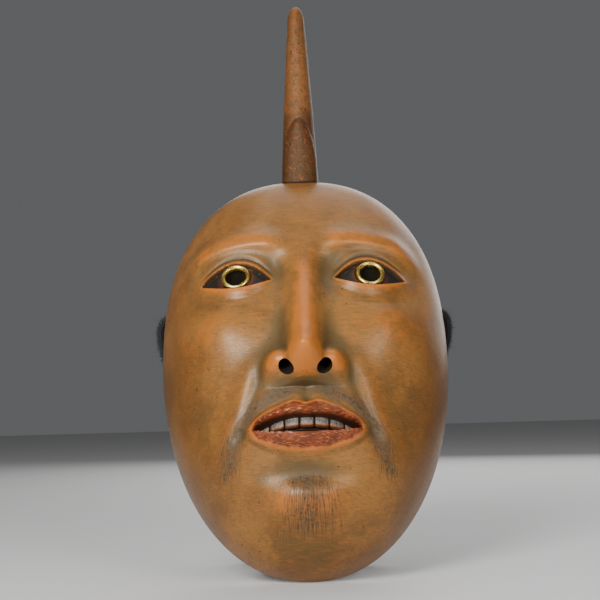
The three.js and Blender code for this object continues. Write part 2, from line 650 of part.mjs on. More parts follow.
// A paper string over the coil: a flat arch that stands on the table astride the bundle.
function coilTie(side) {
  const thick = 0.9;
  const inner = COIL.inner - GAP;
  const outer = COIL.outer + GAP;
  const top = COIL.height + GAP;
  const arch = new THREE.Shape([
    new THREE.Vector2(inner - thick, 0.1),
    new THREE.Vector2(inner, 0.1),
    new THREE.Vector2(inner, top),
    new THREE.Vector2(outer, top),
    new THREE.Vector2(outer, 0.1),
    new THREE.Vector2(outer + thick, 0.1),
    new THREE.Vector2(outer + thick, top + thick),
    new THREE.Vector2(inner - thick, top + thick),
  ]);
  const g = new THREE.ExtrudeGeometry(arch, { depth: 1.6, bevelEnabled: false, steps: 1 });
  g.translate(0, 0, -0.8).rotateX(PI / 2); // the arch now stands, and reaches outwards along +x
  g.rotateZ(THREE.MathUtils.degToRad(side > 0 ? 160 : 20));
  return g.translate(...COIL_PLACE[sideName(side)], 0);
}

function cordNodes(side) {
  const who = sideName(side);
  const knotStart = uprightHolePoint(side, CORD_START - GAP);
  const inward = uprightHolePoint(side, -1).sub(uprightHolePoint(side, 0));
  const angle = COIL_START[who];
  const along = new THREE.Vector3(-side * sin(angle), cos(angle), 0);
  const endKnot = new THREE.Vector3(
    side * (COIL_PLACE[who][0] + END_KNOT_FROM_MIDDLE * cos(angle)),
    COIL_PLACE[who][1] + END_KNOT_FROM_MIDDLE * sin(angle),
    KNOT.radius + 0.1,
  );
  const cord = (name, geometry) => namedMesh(who + name, geometry, COLOURS.cord, 0.75);
  return [
    cord("_cord", cordTube(side)),
    cord("_cord_stopper_knot", barrel(knotStart, inward, KNOT.length, KNOT.radius)),
    cord("_cord_coil", coilRing(side)),
    cord("_cord_end_knot", barrel(endKnot.addScaledVector(along, -KNOT.length / 2), along, KNOT.length, KNOT.radius)),
    namedMesh(who + "_coil_tie", coilTie(side), COLOURS.pad, 0.9),
  ];
}

// ---- assembly -----------------------------------------------------------------------------------
const leaning = new THREE.Group();
leaning.rotation.x = -LEAN;
leaning.add(
  maskShell(),
  namedMesh("upper_teeth", teethStrip(), COLOURS.teeth, 0.35, 0.5),
  eyeRing(-1),
  eyeRing(1),
  ...PADS.map(wearingPad),
  horn(),
  hornTenon(),
);

const mask = new THREE.Group();
mask.add(leaning, ...cordNodes(-1), ...cordNodes(1));
mask.position.y = -CENTRE_Y;

export default mask;
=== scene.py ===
"""A noh mask leaning back on its chin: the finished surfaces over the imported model.

Lengths are millimetres while a piece is drawn, and metres once it becomes a mesh. Most pieces are drawn in
the mask's own frame, as in the part's source: x to the wearer's left, y backwards, z from chin to crown,
with the rear rim in the plane y = 0. "Depth" is the distance in front of the rear rim.
"""

import math
import random

import bpy
import numpy as np
from mathutils import Matrix, Vector


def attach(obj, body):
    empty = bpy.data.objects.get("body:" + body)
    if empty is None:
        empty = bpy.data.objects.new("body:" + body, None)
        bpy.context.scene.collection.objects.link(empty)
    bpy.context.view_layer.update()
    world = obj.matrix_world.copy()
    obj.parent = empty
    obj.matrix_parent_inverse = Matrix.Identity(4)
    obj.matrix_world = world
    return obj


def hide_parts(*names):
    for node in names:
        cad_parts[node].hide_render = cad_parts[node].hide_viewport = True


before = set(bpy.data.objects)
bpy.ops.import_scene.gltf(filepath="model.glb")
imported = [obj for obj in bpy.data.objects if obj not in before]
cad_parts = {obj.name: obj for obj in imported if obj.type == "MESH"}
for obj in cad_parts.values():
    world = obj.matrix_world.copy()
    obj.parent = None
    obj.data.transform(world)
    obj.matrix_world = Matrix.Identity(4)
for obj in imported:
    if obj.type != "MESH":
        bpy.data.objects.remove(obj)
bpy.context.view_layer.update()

# ---- dimensions, as in the part's source: millimetres ---------------------------------------------
LEAN = math.radians(30)
MASK_HEIGHT = 212
HALF_WIDTH = 69
WIDEST_AT = 118
SHELL_DEPTH = 54
RIM_WIDTH = 8
CROWN_RIM_WIDTH = 13
WALL = 5
GAP = 0.3
CENTRE_Y = 39.9

EYE = dict(x=31, z=128, half_width=16, up=8.0, down=6.6, tilt=0.05)
RING = dict(outer=6.9, inner=4.6, thick=2.3)
PUPIL = dict(before=3, length=16, front=5.5, back=1.7, drop=0.45)
MOUTH = dict(z=50, half_width=25, up=4.2, down=4.4)
MOUTH_SLOT = dict(z=48.4, half_width=20, half_height=1.5, before=1, length=40, slope=25)
NOSE = dict(top=138, tip=79, base=67.5, height=18)
NOSTRIL = dict(x=8.4, z=73.4, direction=(0, 0.5, 0.866), before=8, deep=9, radius=3.7, end_radius=3.0)
TEETH = dict(half_width=22.5, bottom=49.4, top=58, thick=3, middle_depth=53.2, fall_back=9.5, count=7)

HORN = dict(length=95.5, half_width=9.3, half_depth=8.7, depth=27.5, z=201.9, forward=28)
HORN_FOOT = dict(radius=13.0, top_radius=13.6, height=20, forward=1, flatness=0.94)  # cut into the crown
SPUR = dict(length=34.6, half_width=8.9, half_depth=5.8, forward=4.5)
TENON = dict(half_width=5, half_depth=4, in_horn=14, in_mask=14)

CORD_DIAMETER = 3.5
CORD_HOLE = dict(x=67.8, z=135, depth=8, radius=2.6, back=0.7, down=0.3, inside=22, outside=14)
CORD_START = -18  # along the hole from its outer end, where the stopper knot sits in the hollow
KNOT = dict(length=9, radius=4.2)

MM = 0.001
SIDES = {"left": 1, "right": -1}
LEAN_MM = Matrix.Translation((0, -CENTRE_Y, 0)) @ Matrix.Rotation(-LEAN, 4, "X")  # mask frame to row frame
HORN_SEAT = LEAN_MM @ Matrix.Translation((0, -HORN["depth"], HORN["z"])) @ Matrix.Rotation(
    math.radians(HORN["forward"]), 4, "X")


# ---- small helpers --------------------------------------------------------------------------------
def smooth(low, high, v):
    t = np.clip((v - low) / (high - low), 0, 1)
    return t * t * (3 - 2 * t)


def bump(d, width):
    return np.exp(-((d / width) ** 2))


def spot(x, z, at_x, at_z, wide, tall):
    return bump(x - at_x, wide) * bump(z - at_z, tall)


def positive(v):
    return np.maximum(v, 0)


def blend_max(a, b, k):
    h = positive(k - np.abs(a - b)) / k
    return np.maximum(a, b) + h * h * k / 4


def upright(points):
    """Points of the mask's own frame, in the row frame. Both in millimetres."""
    p = np.atleast_2d(np.asarray(points, float))
    c, s = math.cos(LEAN), math.sin(LEAN)
    return np.stack([p[:, 0], p[:, 1] * c + p[:, 2] * s - CENTRE_Y, p[:, 2] * c - p[:, 1] * s], axis=1)


def unit(rows):
    """Each row, or the one row, at length 1."""
    return rows / np.linalg.norm(rows, axis=-1, keepdims=True)


def lengths_along(path):
    """How far along a path each of its points lies."""
    return np.concatenate([[0], np.cumsum(np.linalg.norm(np.diff(path, axis=0), axis=1))])


def ring_angles(sides):
    return np.arange(sides) / sides * 2 * math.pi


# ---- outline and depth of the mask ----------------------------------------------------------------
def roundness(z):
    return 2.1 + 0.25 * smooth(WIDEST_AT - 45, WIDEST_AT + 45, z)


def oval_half_width(z, half_width, bottom, top):
    reach = np.where(z > WIDEST_AT, top - WIDEST_AT, WIDEST_AT - bottom)
    n = roundness(z)
    return half_width * positive(1 - (np.abs(z - WIDEST_AT) / reach) ** n) ** (1 / n)


def oval_radius(x, z, half_width, bottom, top):
    reach = np.where(z > WIDEST_AT, top - WIDEST_AT, WIDEST_AT - bottom)
    n = roundness(z)
    return ((np.abs(x) / half_width) ** n + (np.abs(z - WIDEST_AT) / reach) ** n) ** (1 / n)


def dome(radius):
    return positive(1 - np.minimum(radius, 1) ** 2.5) ** (1 / 2.3)


def eye_opening(x, z):
    """1 in the middle of the eye opening, 0 on its edge, negative outside."""
    along = (np.abs(x) - EYE["x"]) / EYE["half_width"]
    corner = EYE["z"] - 0.6 + EYE["tilt"] * (np.abs(x) - EYE["x"])
    half = np.where(z > corner, EYE["up"], EYE["down"])
    return 1 - along**2 - np.abs(z - corner) / half


def lid_edges(x):
    """Heights of the eye opening's upper and lower edge, and how far along the eye x is, from -1 to 1."""
    along = (np.abs(x) - EYE["x"]) / EYE["half_width"]
    corner = EYE["z"] - 0.6 + EYE["tilt"] * (np.abs(x) - EYE["x"])
    arch = 1 - along**2
    return corner + EYE["up"] * arch, corner - EYE["down"] * arch, along


def mouth_edges(x):
    """Heights of the opening's two edges, and of the lips' two outer edges."""
    arch = positive(1 - (x / MOUTH["half_width"]) ** 2)
    outer = positive(1 - (x / (MOUTH["half_width"] + 2.5)) ** 2)
    bow = 1.0 * bump(np.abs(x) - 6, 4) - 1.1 * bump(x, 3)
    top = MOUTH["z"] + MOUTH["up"] * arch**0.7 - 0.5 * bump(x, 4)
    bottom = MOUTH["z"] - MOUTH["down"] * arch**0.8
    lip_top = MOUTH["z"] + 9.6 * outer**0.85 + bow * outer
    lip_bottom = MOUTH["z"] - 11.6 * outer**0.75
    return top, bottom, lip_top, lip_bottom


def eye_depth(x, z):
    """What an eye, its socket and its lids add to the depth."""
    side = np.abs(x)
    upper, lower, along = lid_edges(x)
    ball = positive(1 - ((side - EYE["x"]) / 23) ** 2 - ((z - EYE["z"]) / 17) ** 2) ** 1.8
    ends = smooth(1.15, 0.75, np.abs(along))
    opening = eye_opening(x, z)
    depth = 8 * ball - 6.5 * spot(side, z, 29, 130, 19, 12) - 2.2 * spot(side, z, 14, 131, 6, 9)
    depth += 0.7 * bump(opening + 0.13, 0.11) * smooth(1.25, 0.9, np.abs(along))  # rims of the lids
    depth -= 1.0 * bump(z - upper - 4.6, 1.2) * ends  # crease of the upper lid
    depth -= 0.5 * bump(z - lower + 5, 1.8) * ends
    return depth


def nose_depth(x, z):
    """What the nose adds to the depth: a bridge that widens downwards, a round tip and two wings."""
    along = np.clip((NOSE["top"] - z) / (NOSE["top"] - NOSE["tip"]), 0, 1)
    under = np.clip((NOSE["tip"] - z) / (NOSE["tip"] - NOSE["base"]), 0, 1)
    below = (1 - under**2) ** 0.9
    ridge = (2.5 + (NOSE["height"] - 2.5) * along**1.3) * smooth(156, 132, z)
    bridge = ridge * np.exp(-((np.abs(x) / (7.5 + 3 * along**2)) ** 2.2))
    tip = 3.4 * spot(x, z, 0, NOSE["tip"] + 1, 8, 8)
    from_wing = ((np.abs(x) - 11.2) / 7.8) ** 2 + ((z - 77) / 8.6) ** 2
    wing = 10.8 * np.exp(-(from_wing**1.25))
    return blend_max((bridge + tip) * below, wing * below, 5)


def lip_depth(x, z):
    """What the two lips add to the depth. It falls away between them, where the mouth is open."""
    top, bottom, lip_top, lip_bottom = mouth_edges(x)
    wide = smooth(MOUTH["half_width"] + 2.5, MOUTH["half_width"] - 4, np.abs(x))
    upper = np.clip((z - top) / np.maximum(lip_top - top, 0.5), 0, 1)
    lower = np.clip((bottom - z) / np.maximum(bottom - lip_bottom, 0.5), 0, 1)
    inside = np.minimum(top - z, z - bottom)
    border = np.minimum(lip_top - z, z - lip_bottom)
    depth = 2.6 * (1 - upper**2) ** 0.8 * smooth(0, 0.25, upper + 0.1) * (z > top)
    depth = depth + 3.6 * (1 - lower**2) ** 0.8 * smooth(0, 0.25, lower + 0.1) * (z < bottom)
    depth = depth + 0.7 * bump(border, 0.9)
    depth = depth + (1.2 - 7.5 * smooth(0, 1.8, inside)) * (inside > 0)
    return depth * wide


def feature_depth(x, z):
    """What all the features of the face add to the depth of the plain dome."""
    side = np.abs(x)
    brow = 146 + 3 * (1 - ((side - 30) / 22) ** 2)
    fold_x = 17.5 + 14 * np.clip((84 - z) / 38, 0, 1) ** 1.2
    fold = smooth(40, 54, z) * smooth(88, 78, z)
    depth = 2 * spot(x, z, 0, 178, 36, 20)  # forehead
    depth = depth + 3 * bump(z - brow, 7) * smooth(4, 18, side) * smooth(62, 44, side)
    depth += 0.7 * bump(z - brow + 3.5, 1.8) * smooth(8, 20, side) * smooth(58, 44, side)
    depth -= 2.6 * spot(side, z, 58, 152, 10, 18)  # temples
    depth += 3.8 * spot(side, z, 41, 100, 16, 15)  # cheeks
    depth -= 2.5 * spot(side, z, 46, 62, 15, 20)
    depth += 5.5 * spot(x, z, 0, 51, 25, 18)  # round of the mouth
    depth -= 0.9 * bump(side - fold_x, 3.2) * fold  # fold from nose to mouth
    depth += 0.7 * bump(side - fold_x - 5.5, 5) * fold
    depth -= 1.0 * bump(x, 2.6) * smooth(58, 62, z) * smooth(71, 66, z)  # groove under the nose
    depth -= 3.2 * spot(x, z, 0, 32, 17, 5.5)  # hollow under the lip
    depth += 6 * spot(x, z, 0, 17, 18, 12)  # chin
    depth -= 1.3 * spot(side, z, 28.5, 49.5, 3.5, 4)  # corners of the mouth
    return depth + eye_depth(x, z) + nose_depth(x, z) + lip_depth(x, z)


def front_depth(x, z):
    x, z = np.asarray(x, float), np.asarray(z, float)
    radius = oval_radius(x, z, HALF_WIDTH, 0, MASK_HEIGHT)
    recess = 2.1 * smooth(-0.06, 0.1, eye_opening(x, z))
    return SHELL_DEPTH * dome(radius) + (feature_depth(x, z) - recess) * smooth(0.99, 0.8, radius)


HOLLOW = (HALF_WIDTH - RIM_WIDTH, RIM_WIDTH, MASK_HEIGHT - CROWN_RIM_WIDTH)


def back_depth(x, z):
    x, z = np.asarray(x, float), np.asarray(z, float)
    radius = oval_radius(x, z, *HOLLOW)
    inner = smooth(0.99, 0.75, radius)
    swell = 13 * spot(x, z, 0, 88, 12, 24) + 5 * spot(x, z, 0, 50, 27, 18) + 3 * spot(x, z, 0, 17, 16, 12)
    hollow = (SHELL_DEPTH - 7.5) * dome(radius) + inner * swell
    return positive(np.minimum(hollow, front_depth(x, z) - WALL))


# ---- objects --------------------------------------------------------------------------------------
def link(obj):
    bpy.context.scene.collection.objects.link(obj)
    return obj


def mesh_object(name, points, faces, material=None, smooth_angle=None):
    """An object from points in millimetres of the row frame."""
    mesh = bpy.data.meshes.new(name)
    mesh.from_pydata((np.asarray(points) * MM).tolist(), [], [tuple(f) for f in faces])
    mesh.validate()
    obj = link(bpy.data.objects.new(name, mesh))
    dress(obj, material)
    if smooth_angle:
        mesh.set_sharp_from_angle(angle=math.radians(smooth_angle))
    return obj


def dress(obj, material):
    """Gives the whole object smooth shading, and its material if it has one."""
    mesh = obj.data
    mesh.polygons.foreach_set("use_smooth", [True] * len(mesh.polygons))
    if material:
        mesh.materials.clear()
        mesh.materials.append(material)
        mesh.polygons.foreach_set("material_index", [0] * len(mesh.polygons))


def grid_faces(rows, columns, start=0, flip=False, wrap=False):
    """Quads of a rows by columns grid of points."""
    r, c = np.meshgrid(np.arange(rows - 1), np.arange(columns if wrap else columns - 1), indexing="ij")
    r, c = r.ravel(), c.ravel()
    after = (c + 1) % columns
    quads = [r * columns + c, r * columns + after, (r + 1) * columns + after, (r + 1) * columns + c]
    quads = np.stack(quads[::-1] if flip else quads, axis=1) + start
    return quads.tolist()


def capped_faces(rings, sides):
    """Faces of a closed tube of rings, with a flat cap at each end."""
    caps = [tuple(range(sides))[::-1], tuple(range((rings - 1) * sides, rings * sides))]
    return grid_faces(rings, sides, wrap=True) + caps


def spread(n, low, high, density):
    """n + 1 numbers from low to high, closer together where density is larger."""
    fine = np.linspace(low, high, 4001)
    sums = np.concatenate([[0], np.cumsum(density((fine[1:] + fine[:-1]) / 2))])
    return np.interp(np.linspace(0, sums[-1], n + 1), sums, fine)


def shell_blank(rows, front_columns, back_columns):
    """The closed shell, before its holes: points of the mask's frame, and faces."""
    heights = spread(
        rows + 2, 0, MASK_HEIGHT,
        lambda z: 1 + 0.8 * bump(z - 72, 6) + 0.6 * bump(z - 50, 12) + 0.6 * bump(z - 128, 12)
        + 5 * np.exp(-z / 2.5) + 5 * np.exp((z - MASK_HEIGHT) / 2.5),
    )[1:-1]
    across = spread(front_columns, -1, 1, lambda s: 1 + 0.5 * bump(s, 0.45) + 3 * bump(np.abs(s) - 1, 0.05))
    behind = spread(back_columns, -1, 1, lambda s: 1 + 1.5 * bump(np.abs(s) - 1, 0.12))
    z = heights[:, None] + 0 * across
    x = across * oval_half_width(z, HALF_WIDTH, 0, MASK_HEIGHT)
    depth = np.where(np.abs(across) > 0.9999, 0, front_depth(x, z))
    front = np.stack([x, -depth, z], axis=2).reshape(-1, 3)
    share = (heights - heights[0]) / (heights[-1] - heights[0])
    high = (HOLLOW[1] + 0.4 + (HOLLOW[2] - HOLLOW[1] - 0.8) * share)[:, None] + 0 * behind
    bx = behind * oval_half_width(high, *HOLLOW)
    back_d = np.where(np.abs(behind) > 0.9999, 0, back_depth(bx, high))
    back = np.stack([bx, -back_d, high], axis=2).reshape(-1, 3)
    count, wide, back_wide = len(heights), len(across), len(behind)
    ends = [[0, 0, 0], [0, 0, MASK_HEIGHT], [0, 0, HOLLOW[1]], [0, 0, HOLLOW[2]]]
    points = np.concatenate([front, back, ends])
    chin, crown, hollow_chin, hollow_crown = range(len(front) + len(back), len(points))

    def f(r, c):
        return r * wide + c

    def b(r, c):
        return len(front) + r * back_wide + c

    faces = grid_faces(count, wide) + grid_faces(count, back_wide, len(front), flip=True)
    last = count - 1
    for r in range(last):
        faces.append([f(r, 0), f(r + 1, 0), b(r + 1, 0), b(r, 0)])
        faces.append([f(r, wide - 1), b(r, back_wide - 1), b(r + 1, back_wide - 1), f(r + 1, wide - 1)])
    for c in range(wide - 1):
        faces += [[chin, f(0, c + 1), f(0, c)], [crown, f(last, c), f(last, c + 1)]]
    for c in range(back_wide - 1):
        faces += [[hollow_chin, b(0, c), b(0, c + 1)], [hollow_crown, b(last, c + 1), b(last, c)]]
    faces += [
        [chin, f(0, 0), b(0, 0), hollow_chin],
        [chin, hollow_chin, b(0, back_wide - 1), f(0, wide - 1)],
        [crown, hollow_crown, b(last, 0), f(last, 0)],
        [crown, f(last, wide - 1), b(last, back_wide - 1), hollow_crown],
    ]
    return points, faces


# ---- camera, light and floor ----------------------------------------------------------------------
CAMERA = dict(place=(0, -0.6, 0.08), lens=75.6, pitch=4.51, roll=1.6, yaw=0.16)  # metres and degrees
SKY = dict(colour=(0.9, 0.92, 0.95, 1), strength=0.13)
LIGHTS = dict(  # metres and watts
    key=dict(place=(-0.32, -0.72, 0.45), aim=(0, 0, 0.1), size=(0.3, 0.5), power=10),
    fill=dict(place=(0.38, -0.68, 0.4), aim=(0, 0, 0.12), size=(0.25, 0.5), power=2.9),
    top=dict(place=(0.1, 0.3, 1.1), aim=(0, 0, 0.1), size=(0.8, 0.8), power=3),
    rear=dict(place=(0.25, 0.85, 0.5), aim=(0, 0, 0.1), size=(0.9, 0.7), power=4.5),
)
FLOOR = dict(reach=3000, z=-0.05, colour=(0.62, 0.61, 0.6, 1), roughness=0.7)


def make_camera():
    data = bpy.data.cameras.new("camera")
    data.lens, data.sensor_width = CAMERA["lens"], 36
    camera = link(bpy.data.objects.new("camera", data))
    pitch, roll, yaw = (math.radians(CAMERA[turn]) for turn in ("pitch", "roll", "yaw"))
    camera.matrix_world = (
        Matrix.Translation(CAMERA["place"])
        @ Matrix.Rotation(yaw, 4, "Z")
        @ Matrix.Rotation(math.radians(90) + pitch, 4, "X")
        @ Matrix.Rotation(-roll, 4, "Z")
    )
    bpy.context.scene.camera = camera


def area_light(name, place, aim, size, power):
    data = bpy.data.lights.new(name, "AREA")
    data.shape = "RECTANGLE"
    data.size, data.size_y = size
    data.energy = power
    light = link(bpy.data.objects.new(name, data))
    light.location = place
    light.rotation_mode = "QUATERNION"
    light.rotation_quaternion = (Vector(aim) - Vector(place)).to_track_quat("-Z", "Y")


def make_surroundings():
    world = bpy.data.worlds.new("studio")
    world.use_nodes = True
    background = world.node_tree.nodes["Background"]
    background.inputs["Color"].default_value = SKY["colour"]
    background.inputs["Strength"].default_value = SKY["strength"]
    bpy.context.scene.world = world
    for name, light in LIGHTS.items():
        area_light(name, **light)
    paper = bpy.data.materials.new("floor_paper")
    paper.use_nodes = True
    shader = paper.node_tree.nodes["Principled BSDF"]
    shader.inputs["Base Color"].default_value = FLOOR["colour"]
    shader.inputs["Roughness"].default_value = FLOOR["roughness"]
    far, z = FLOOR["reach"], FLOOR["z"]
    corners = [(-far, -far, z), (far, -far, z), (far, far, z), (-far, far, z)]
    mesh_object("floor", corners, [(0, 1, 2, 3)], paper)


make_camera()
make_surroundings()

# ---- materials ------------------------------------------------------------------------------------
def srgb(r, g, b):
    """A colour of screen values from 0 to 255, as linear light."""
    def linear(v):
        v /= 255
        return v / 12.92 if v <= 0.04045 else ((v + 0.055) / 1.055) ** 2.4
    return (linear(r), linear(g), linear(b), 1)


class Paint:
    """A node material being built. Its calls take sockets and plain values alike.

    A plain colour is three screen values from 0 to 255. Textures are laid out in millimetres, and
    "leaning" ones follow the mask's own axes."""

    def __init__(self, name, leaning=True):
        self.material = bpy.data.materials.new(name)
        self.material.use_nodes = True
        self.tree = self.material.node_tree
        self.tree.nodes.clear()
        place = self.node("TexCoord").outputs["Object"]
        self.place = self.node("Mapping", Vector=place, Scale=(1000, 1000, 1000)).outputs[0]
        if leaning:
            self.place = self.node("Mapping", Vector=self.place, Rotation=(LEAN, 0, 0)).outputs[0]

    def node(self, kind, settings=None, **inputs):
        made = self.tree.nodes.new("ShaderNode" + kind)
        for key, value in (settings or {}).items():
            setattr(made, key, value)
        for key, value in inputs.items():
            self.put(made.inputs[key.replace("_", " ")], value)
        return made

    def put(self, socket, value):
        if isinstance(value, bpy.types.NodeSocket):
            self.tree.links.new(value, socket)
        else:
            socket.default_value = value

    def attribute(self, name):
        return self.node("Attribute", {"attribute_name": name}).outputs["Fac"]

    def stretched(self, x=1, y=1, z=1):
        return self.node("Mapping", Vector=self.place, Scale=(x, y, z)).outputs[0]

    def noise(self, size, detail=3, rough=0.55, where=None, distortion=0):
        """Soft noise with spots about "size" millimetres across, from 0 to 1."""
        made = self.node("TexNoise", Vector=where or self.place, Scale=1 / size, Detail=detail,
                         Roughness=rough, Distortion=distortion)
        return made.outputs[0]

    def cells(self, size, where=None, feature="F1"):
        made = self.node("TexVoronoi", {"feature": feature}, Vector=where or self.place, Scale=1 / size)
        return made.outputs["Distance"]

    def maths(self, operation, a, b=0.0):
        made = self.node("Math", {"operation": operation})
        self.put(made.inputs[0], a)
        self.put(made.inputs[1], b)
        return made.outputs[0]

    def times(self, a, b):
        return self.maths("MULTIPLY", a, b)

    def plus(self, a, b):
        return self.maths("ADD", a, b)

    def most(self, a, b):
        return self.maths("MAXIMUM", a, b)

    def ramp(self, value, low, high, to_low=0.0, to_high=1.0):
        """Goes smoothly from to_low to to_high as value goes from low to high."""
        made = self.node("MapRange", {"interpolation_type": "SMOOTHSTEP"})
        for socket, number in zip(made.inputs, (value, low, high, to_low, to_high)):
            self.put(socket, number)
        return made.outputs[0]

    def mix(self, factor, a, b):
        """Colour a where factor is 0, and colour b where it is 1."""
        made = self.node("Mix", {"data_type": "RGBA"})
        self.put(made.inputs[0], factor)
        for socket, colour in ((made.inputs[6], a), (made.inputs[7], b)):
            self.put(socket, srgb(*colour) if isinstance(colour, tuple) else colour)
        return made.outputs[2]

    def coats(self, colour, *coats):
        """Paints over a colour. Each coat grows to its strength as its value goes from low to high."""
        for value, low, high, strength, paint in coats:
            colour = self.mix(self.ramp(value, low, high, 0, strength), colour, paint)
        return colour

    def touches(self, colour, *touches):
        """Paints over a colour, each time by a mask and at a strength."""
        for mask, strength, paint in touches:
            colour = self.mix(self.times(mask, strength), colour, paint)
        return colour

    def relief(self, height, depth, strength=1.0, under=None):
        """A normal from a height of 0 to 1 that stands "depth" millimetres proud."""
        made = self.node("Bump", Height=height, Distance=depth * MM, Strength=strength)
        if under:
            self.put(made.inputs["Normal"], under)
        return made.outputs[0]

    def finish(self, colour, roughness, normal=None, **fixed):
        shader = self.node("BsdfPrincipled", Roughness=roughness)
        self.put(shader.inputs["Base Color"], colour)
        for key, value in fixed.items():
            shader.inputs[key.replace("_", " ")].default_value = value
        if normal:
            self.put(shader.inputs["Normal"], normal)
        out = self.node("OutputMaterial")
        self.tree.links.new(shader.outputs[0], out.inputs[0])
        return self.material


WARM_SHINE = (1, 0.82, 0.6, 1)
WEAVE_PITCH = 0.7  # of the pads' cotton


def worn_paint(p, base, light, edge, recess):
    """Old paint on wood: cloudy colour, bare warm edges, dirt and painted shade in the hollows, painted
    shade in the fine creases, specks and hairlines.
    Reads the "ridge" and "fine" attributes. Gives colour, roughness and normal."""
    cloud = p.noise(26, 4, 0.6)
    patch = p.noise(7, 5, 0.65)
    grain = p.noise(1.3, 3, 0.6)
    brush = p.noise(1.7, 3, 0.6, p.stretched(0.28, 1, 3.6))
    drag = p.noise(2.4, 3, 0.55, p.stretched(6, 6, 0.7))
    dust = p.noise(0.6, 4, 0.7)
    ridge = p.attribute("ridge")
    fine = p.attribute("fine")
    scraped = p.plus(ridge, p.ramp(patch, 0.3, 0.7, -0.25, 0.25))
    rubbed = p.plus(fine, p.ramp(grain, 0.3, 0.7, -0.2, 0.2))
    # darker in the hollows: dirt, and painted shade
    grime_and_shade = p.plus(ridge, p.ramp(cloud, 0.3, 0.7, -0.15, 0.15))
    specks = p.times(p.ramp(p.cells(1.5), 0.2, 0.11), p.ramp(p.noise(9, 2), 0.47, 0.6))
    big_specks = p.times(p.ramp(p.cells(4.3), 0.13, 0.08), p.ramp(p.noise(21, 2), 0.5, 0.6))
    hairline = p.most(p.ramp(p.noise(0.9, 2, 0.5, p.stretched(14, 14, 0.45)), 0.7, 0.76),
                      p.ramp(p.noise(0.9, 2, 0.5, p.stretched(0.4, 1, 14)), 0.69, 0.76))
    colour = p.coats(
        p.mix(p.ramp(cloud, 0.36, 0.64), base, light),
        (patch, 0.48, 0.72, 0.5, recess),
        (brush, 0.5, 0.72, 0.55, recess),
        (brush, 0.48, 0.3, 0.4, edge),
        (drag, 0.58, 0.7, 0.25, recess),
        (dust, 0.53, 0.7, 0.45, recess),
        (dust, 0.46, 0.3, 0.35, edge),
        (scraped, 0.04, 0.75, 0.8, edge),
        (rubbed, 0.12, 0.6, 0.8, edge),
        (grime_and_shade, -0.04, -0.6, 0.8, recess),
        # darker still in the fine creases: painted shade
        (fine, -0.1, -0.7, 0.6, (42, 31, 21)),
    )
    colour = p.touches(
        colour,
        (specks, 0.6, (40, 27, 17)),
        (big_specks, 0.75, (33, 22, 14)),
        (hairline, 0.4, (52, 36, 22)),
    )
    roughness = p.plus(p.ramp(grain, 0.2, 0.8, 0.3, 0.44), p.ramp(ridge, 0.0, -0.6, 0, 0.16))
    height = p.times(patch, 0.5)
    for layer, share in ((grain, 0.35), (hairline, -0.35), (brush, 0.3), (specks, -0.3)):
        height = p.plus(height, p.times(layer, share))
    return colour, roughness, p.relief(height, 0.2)


def shell_material():
    p = Paint("painted_wood")
    colour, roughness, normal = worn_paint(p, (116, 76, 34), (138, 94, 44), (178, 102, 36), (76, 64, 38))
    patch = p.noise(5, 5, 0.65)
    ragged = p.ramp(patch, 0.2, 0.8, -0.5, 0.5)
    # darker towards the outline on the lower sides and jaws: painted shade; and a faded wash of ink under
    # the painted hair
    outline = p.plus(p.attribute("outline"), p.times(ragged, 0.12))
    colour = p.coats(colour, (outline, 0.6, 1.0, 0.42, (70, 44, 20)))
    colour = p.touches(colour, (p.attribute("wash"), 0.5, (58, 52, 44)))
    # streaked lips with an orange border, and the inside of the mouth
    lip = p.plus(p.attribute("lip"), ragged)
    border = p.mix(p.ramp(patch, 0.4, 0.62), (186, 106, 44), (160, 88, 36))
    red = p.mix(p.ramp(patch, 0.4, 0.62), (112, 46, 28), (82, 33, 22))
    streaks = p.noise(0.7, 4, 0.65, p.stretched(0.22, 1, 2.2), 0.4)
    colour = p.coats(
        colour,
        (lip, -0.3, 0.6, 0.85, border),
        (lip, 0.9, 1.7, 0.95, p.coats(red, (streaks, 0.52, 0.62, 0.8, (178, 104, 52)))),
        (p.attribute("mouth"), -0.4, 0.7, 1, (50, 26, 17)),
    )
    # eyes: dark paint with a red-brown halo round the ring
    eye = p.plus(p.attribute("eye"), p.times(ragged, 0.05))
    ring = p.plus(p.attribute("ring_distance"), ragged)
    dark = p.mix(p.ramp(ring, 9.5, 6.4), (15, 15, 17), (78, 30, 20))
    dark = p.coats(dark, (p.noise(1.1, 3, 0.6), 0.5, 0.7, 0.25, (46, 43, 42)))
    colour = p.coats(colour, (eye, 0.0, 0.06, 1, dark))
    lid_line = p.times(p.ramp(eye, -0.16, -0.02), p.ramp(eye, 0.1, 0.02))
    colour = p.touches(colour, (lid_line, 0.85, (34, 24, 18)))
    # the lacquered hollow behind, with tool marks, and the near-black walls of the holes: painted shade
    inner = p.attribute("inner")
    hole = p.attribute("dark_hole")
    lacquer = p.mix(p.ramp(p.noise(14, 4, 0.6), 0.35, 0.65), (60, 36, 22), (96, 62, 36))
    lacquer = p.coats(lacquer, (p.noise(2.2, 4, 0.6, p.stretched(6, 6, 0.6)), 0.5, 0.66, 0.5, (42, 26, 16)))
    colour = p.mix(hole, p.mix(inner, colour, lacquer), (4, 3, 3))
    for part in (p.times(inner, 0.08), p.ramp(eye, 0.0, 0.06, 0, 0.16), p.times(hole, 0.5)):
        roughness = p.plus(roughness, part)
    tool_marks = p.cells(5.5, p.stretched(1, 1, 0.55), "SMOOTH_F1")
    normal = p.relief(p.times(tool_marks, inner), 1.1, 0.8, normal)
    return p.finish(colour, roughness, normal, Coat_Weight=0.1, Coat_Roughness=0.26, Coat_Tint=WARM_SHINE,
                    Specular_Tint=WARM_SHINE)


